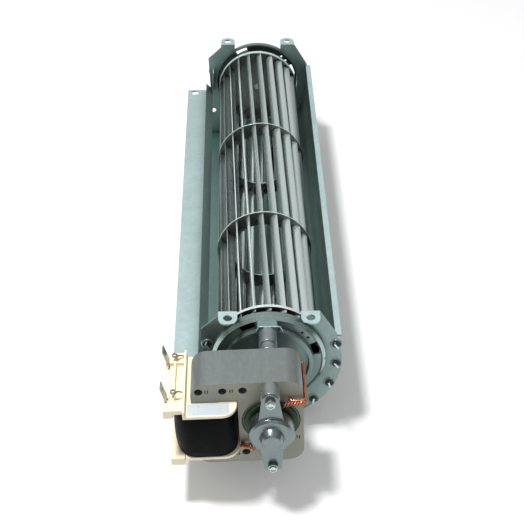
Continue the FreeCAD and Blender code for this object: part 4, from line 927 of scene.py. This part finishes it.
class FAN_OT_stage(bpy.types.Operator):
    """Floor, room light, lamps and camera"""
    bl_idname = "fan.stage"
    bl_label = "Studio"

    def execute(self, context):
        settings = context.scene.fan_stage
        floor_z = min(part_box(node)[0].z for node in ("motor_end_plate", "free_end_plate"))
        self.add_floor(floor_z, settings.floor_glow)
        self.add_room(context.scene, settings.horizon, settings.zenith)
        self.add_lamp("key_lamp", settings.key_place, settings.key_size, settings.key_power)
        self.add_lamp("fill_lamp", settings.fill_place, settings.fill_size, settings.fill_power)
        self.add_camera(context.scene, settings)
        context.scene.view_settings.view_transform = "Standard"
        return {"FINISHED"}

    def add_floor(self, height, strength):
        """A pale floor that looks white where it is lit and keeps the object's shadow. Its glow is
        there for camera rays and for rays sent on by a mirror or by glass, and lights nothing else."""
        half = 6.0
        corners = ((-half, -half), (half, -half), (half, half), (-half, half))
        mesh = bpy.data.meshes.new("floor")
        mesh.from_pydata([(x, y, height) for x, y in corners], [], [(0, 1, 2, 3)])
        finish = Finish("floor_paper", (0.8, 0.8, 0.8), 0.0, 0.9)
        path = finish.node("ShaderNodeLightPath")
        glow = finish.node("ShaderNodeEmission")
        glow.inputs["Color"].default_value = (1, 1, 1, 1)
        mirrored = finish.node("ShaderNodeMath", operation="MAXIMUM")
        finish.link(path.outputs["Is Glossy Ray"], mirrored.inputs[0])
        finish.link(path.outputs["Is Transmission Ray"], mirrored.inputs[1])
        seen = finish.node("ShaderNodeMath", operation="MAXIMUM")
        finish.link(path.outputs["Is Camera Ray"], seen.inputs[0])
        finish.link(mirrored.outputs[0], seen.inputs[1])
        lift = finish.node("ShaderNodeMath", operation="MULTIPLY")
        lift.inputs[1].default_value = strength
        finish.link(seen.outputs[0], lift.inputs[0])
        finish.link(lift.outputs[0], glow.inputs["Strength"])
        added = finish.node("ShaderNodeAddShader")
        output = next(n for n in finish.tree.nodes if n.type == "OUTPUT_MATERIAL")
        finish.link(finish.shader.outputs[0], added.inputs[0])
        finish.link(glow.outputs[0], added.inputs[1])
        finish.link(added.outputs[0], output.inputs["Surface"])
        mesh.materials.append(finish.material)
        floor = bpy.data.objects.new("floor", mesh)
        bpy.context.scene.collection.objects.link(floor)

    def add_room(self, scene, horizon, zenith):
        """Room light that grows from the horizon to the ceiling."""
        world = bpy.data.worlds.new("room")
        scene.world = world
        world.use_nodes = True
        tree = world.node_tree
        background = next(n for n in tree.nodes if n.type == "BACKGROUND")
        background.inputs["Color"].default_value = (1, 1, 1, 1)
        direction = tree.nodes.new("ShaderNodeTexCoord")
        split = tree.nodes.new("ShaderNodeSeparateXYZ")
        rise = tree.nodes.new("ShaderNodeMapRange")
        rise.inputs["From Min"].default_value = 0.0
        rise.inputs["From Max"].default_value = 0.9
        rise.inputs["To Min"].default_value = horizon
        rise.inputs["To Max"].default_value = zenith
        tree.links.new(direction.outputs["Generated"], split.inputs["Vector"])
        tree.links.new(split.outputs["Z"], rise.inputs["Value"])
        tree.links.new(rise.outputs["Result"], background.inputs["Strength"])

    def add_lamp(self, name, place, size, power):
        """A square soft light that points at the middle of the fan."""
        lamp = bpy.data.lights.new(name, "AREA")
        lamp.size = size
        lamp.energy = power
        holder = bpy.data.objects.new(name, lamp)
        holder.location = place
        aim = Vector((0, 0, AXIS_Z)) - Vector(place)
        holder.rotation_euler = aim.to_track_quat("-Z", "Y").to_euler()
        bpy.context.scene.collection.objects.link(holder)

    def add_camera(self, scene, settings):
        """A camera that looks along its yaw and pitch, with its picture turned by the roll."""
        yaw, pitch, roll = settings.yaw, settings.pitch, settings.roll
        level = math.cos(pitch)
        forward = Vector((math.sin(yaw) * level, math.cos(yaw) * level, -math.sin(pitch)))
        right = Vector((math.cos(yaw), -math.sin(yaw), 0))
        up = right.cross(forward)
        level_right = right * math.cos(roll) + up * math.sin(roll)
        level_up = up * math.cos(roll) - right * math.sin(roll)
        camera = bpy.data.cameras.new("camera")
        camera.lens = settings.focal
        camera.sensor_width = 36.0
        camera.clip_start = 0.01
        holder = bpy.data.objects.new("camera", camera)
        turn = Matrix((level_right, level_up, -forward)).transposed()
        holder.matrix_world = Matrix.Translation(settings.camera_place) @ turn.to_4x4()
        scene.collection.objects.link(holder)
        scene.camera = holder


class FAN_PT_panel(bpy.types.Panel):
    """Buttons for the fan's pieces"""
    bl_label = "Cross flow fan"
    bl_idname = "FAN_PT_panel"
    bl_space_type = "VIEW_3D"
    bl_region_type = "UI"
    bl_category = "Fan"

    def draw(self, context):
        for operator in OPERATORS:
            self.layout.operator(operator.bl_idname)


SETTINGS = {
    "fan_housing": FanHousingSettings,
    "fan_impeller": FanImpellerSettings,
    "fan_motor": FanMotorSettings,
    "fan_stage": FanStageSettings,
}
OPERATORS = (
    FAN_OT_stage,
    FAN_OT_housing,
    FAN_OT_impeller,
    FAN_OT_motor_core,
    FAN_OT_brackets,
    FAN_OT_coil,
    FAN_OT_shading_coils,
)


def register():
    for settings in SETTINGS.values():
        bpy.utils.register_class(settings)
    for operator in OPERATORS:
        bpy.utils.register_class(operator)
    bpy.utils.register_class(FAN_PT_panel)
    for name, settings in SETTINGS.items():
        setattr(bpy.types.Scene, name, bpy.props.PointerProperty(type=settings))


def unregister():
    for name in SETTINGS:
        delattr(bpy.types.Scene, name)
    bpy.utils.unregister_class(FAN_PT_panel)
    for operator in reversed(OPERATORS):
        bpy.utils.unregister_class(operator)
    for settings in reversed(list(SETTINGS.values())):
        bpy.utils.unregister_class(settings)


def main():
    """Make every piece."""
    register()
    for operator in OPERATORS:
        group, name = operator.bl_idname.split(".")
        getattr(getattr(bpy.ops, group), name)()


if __name__ == "__main__":
    main()
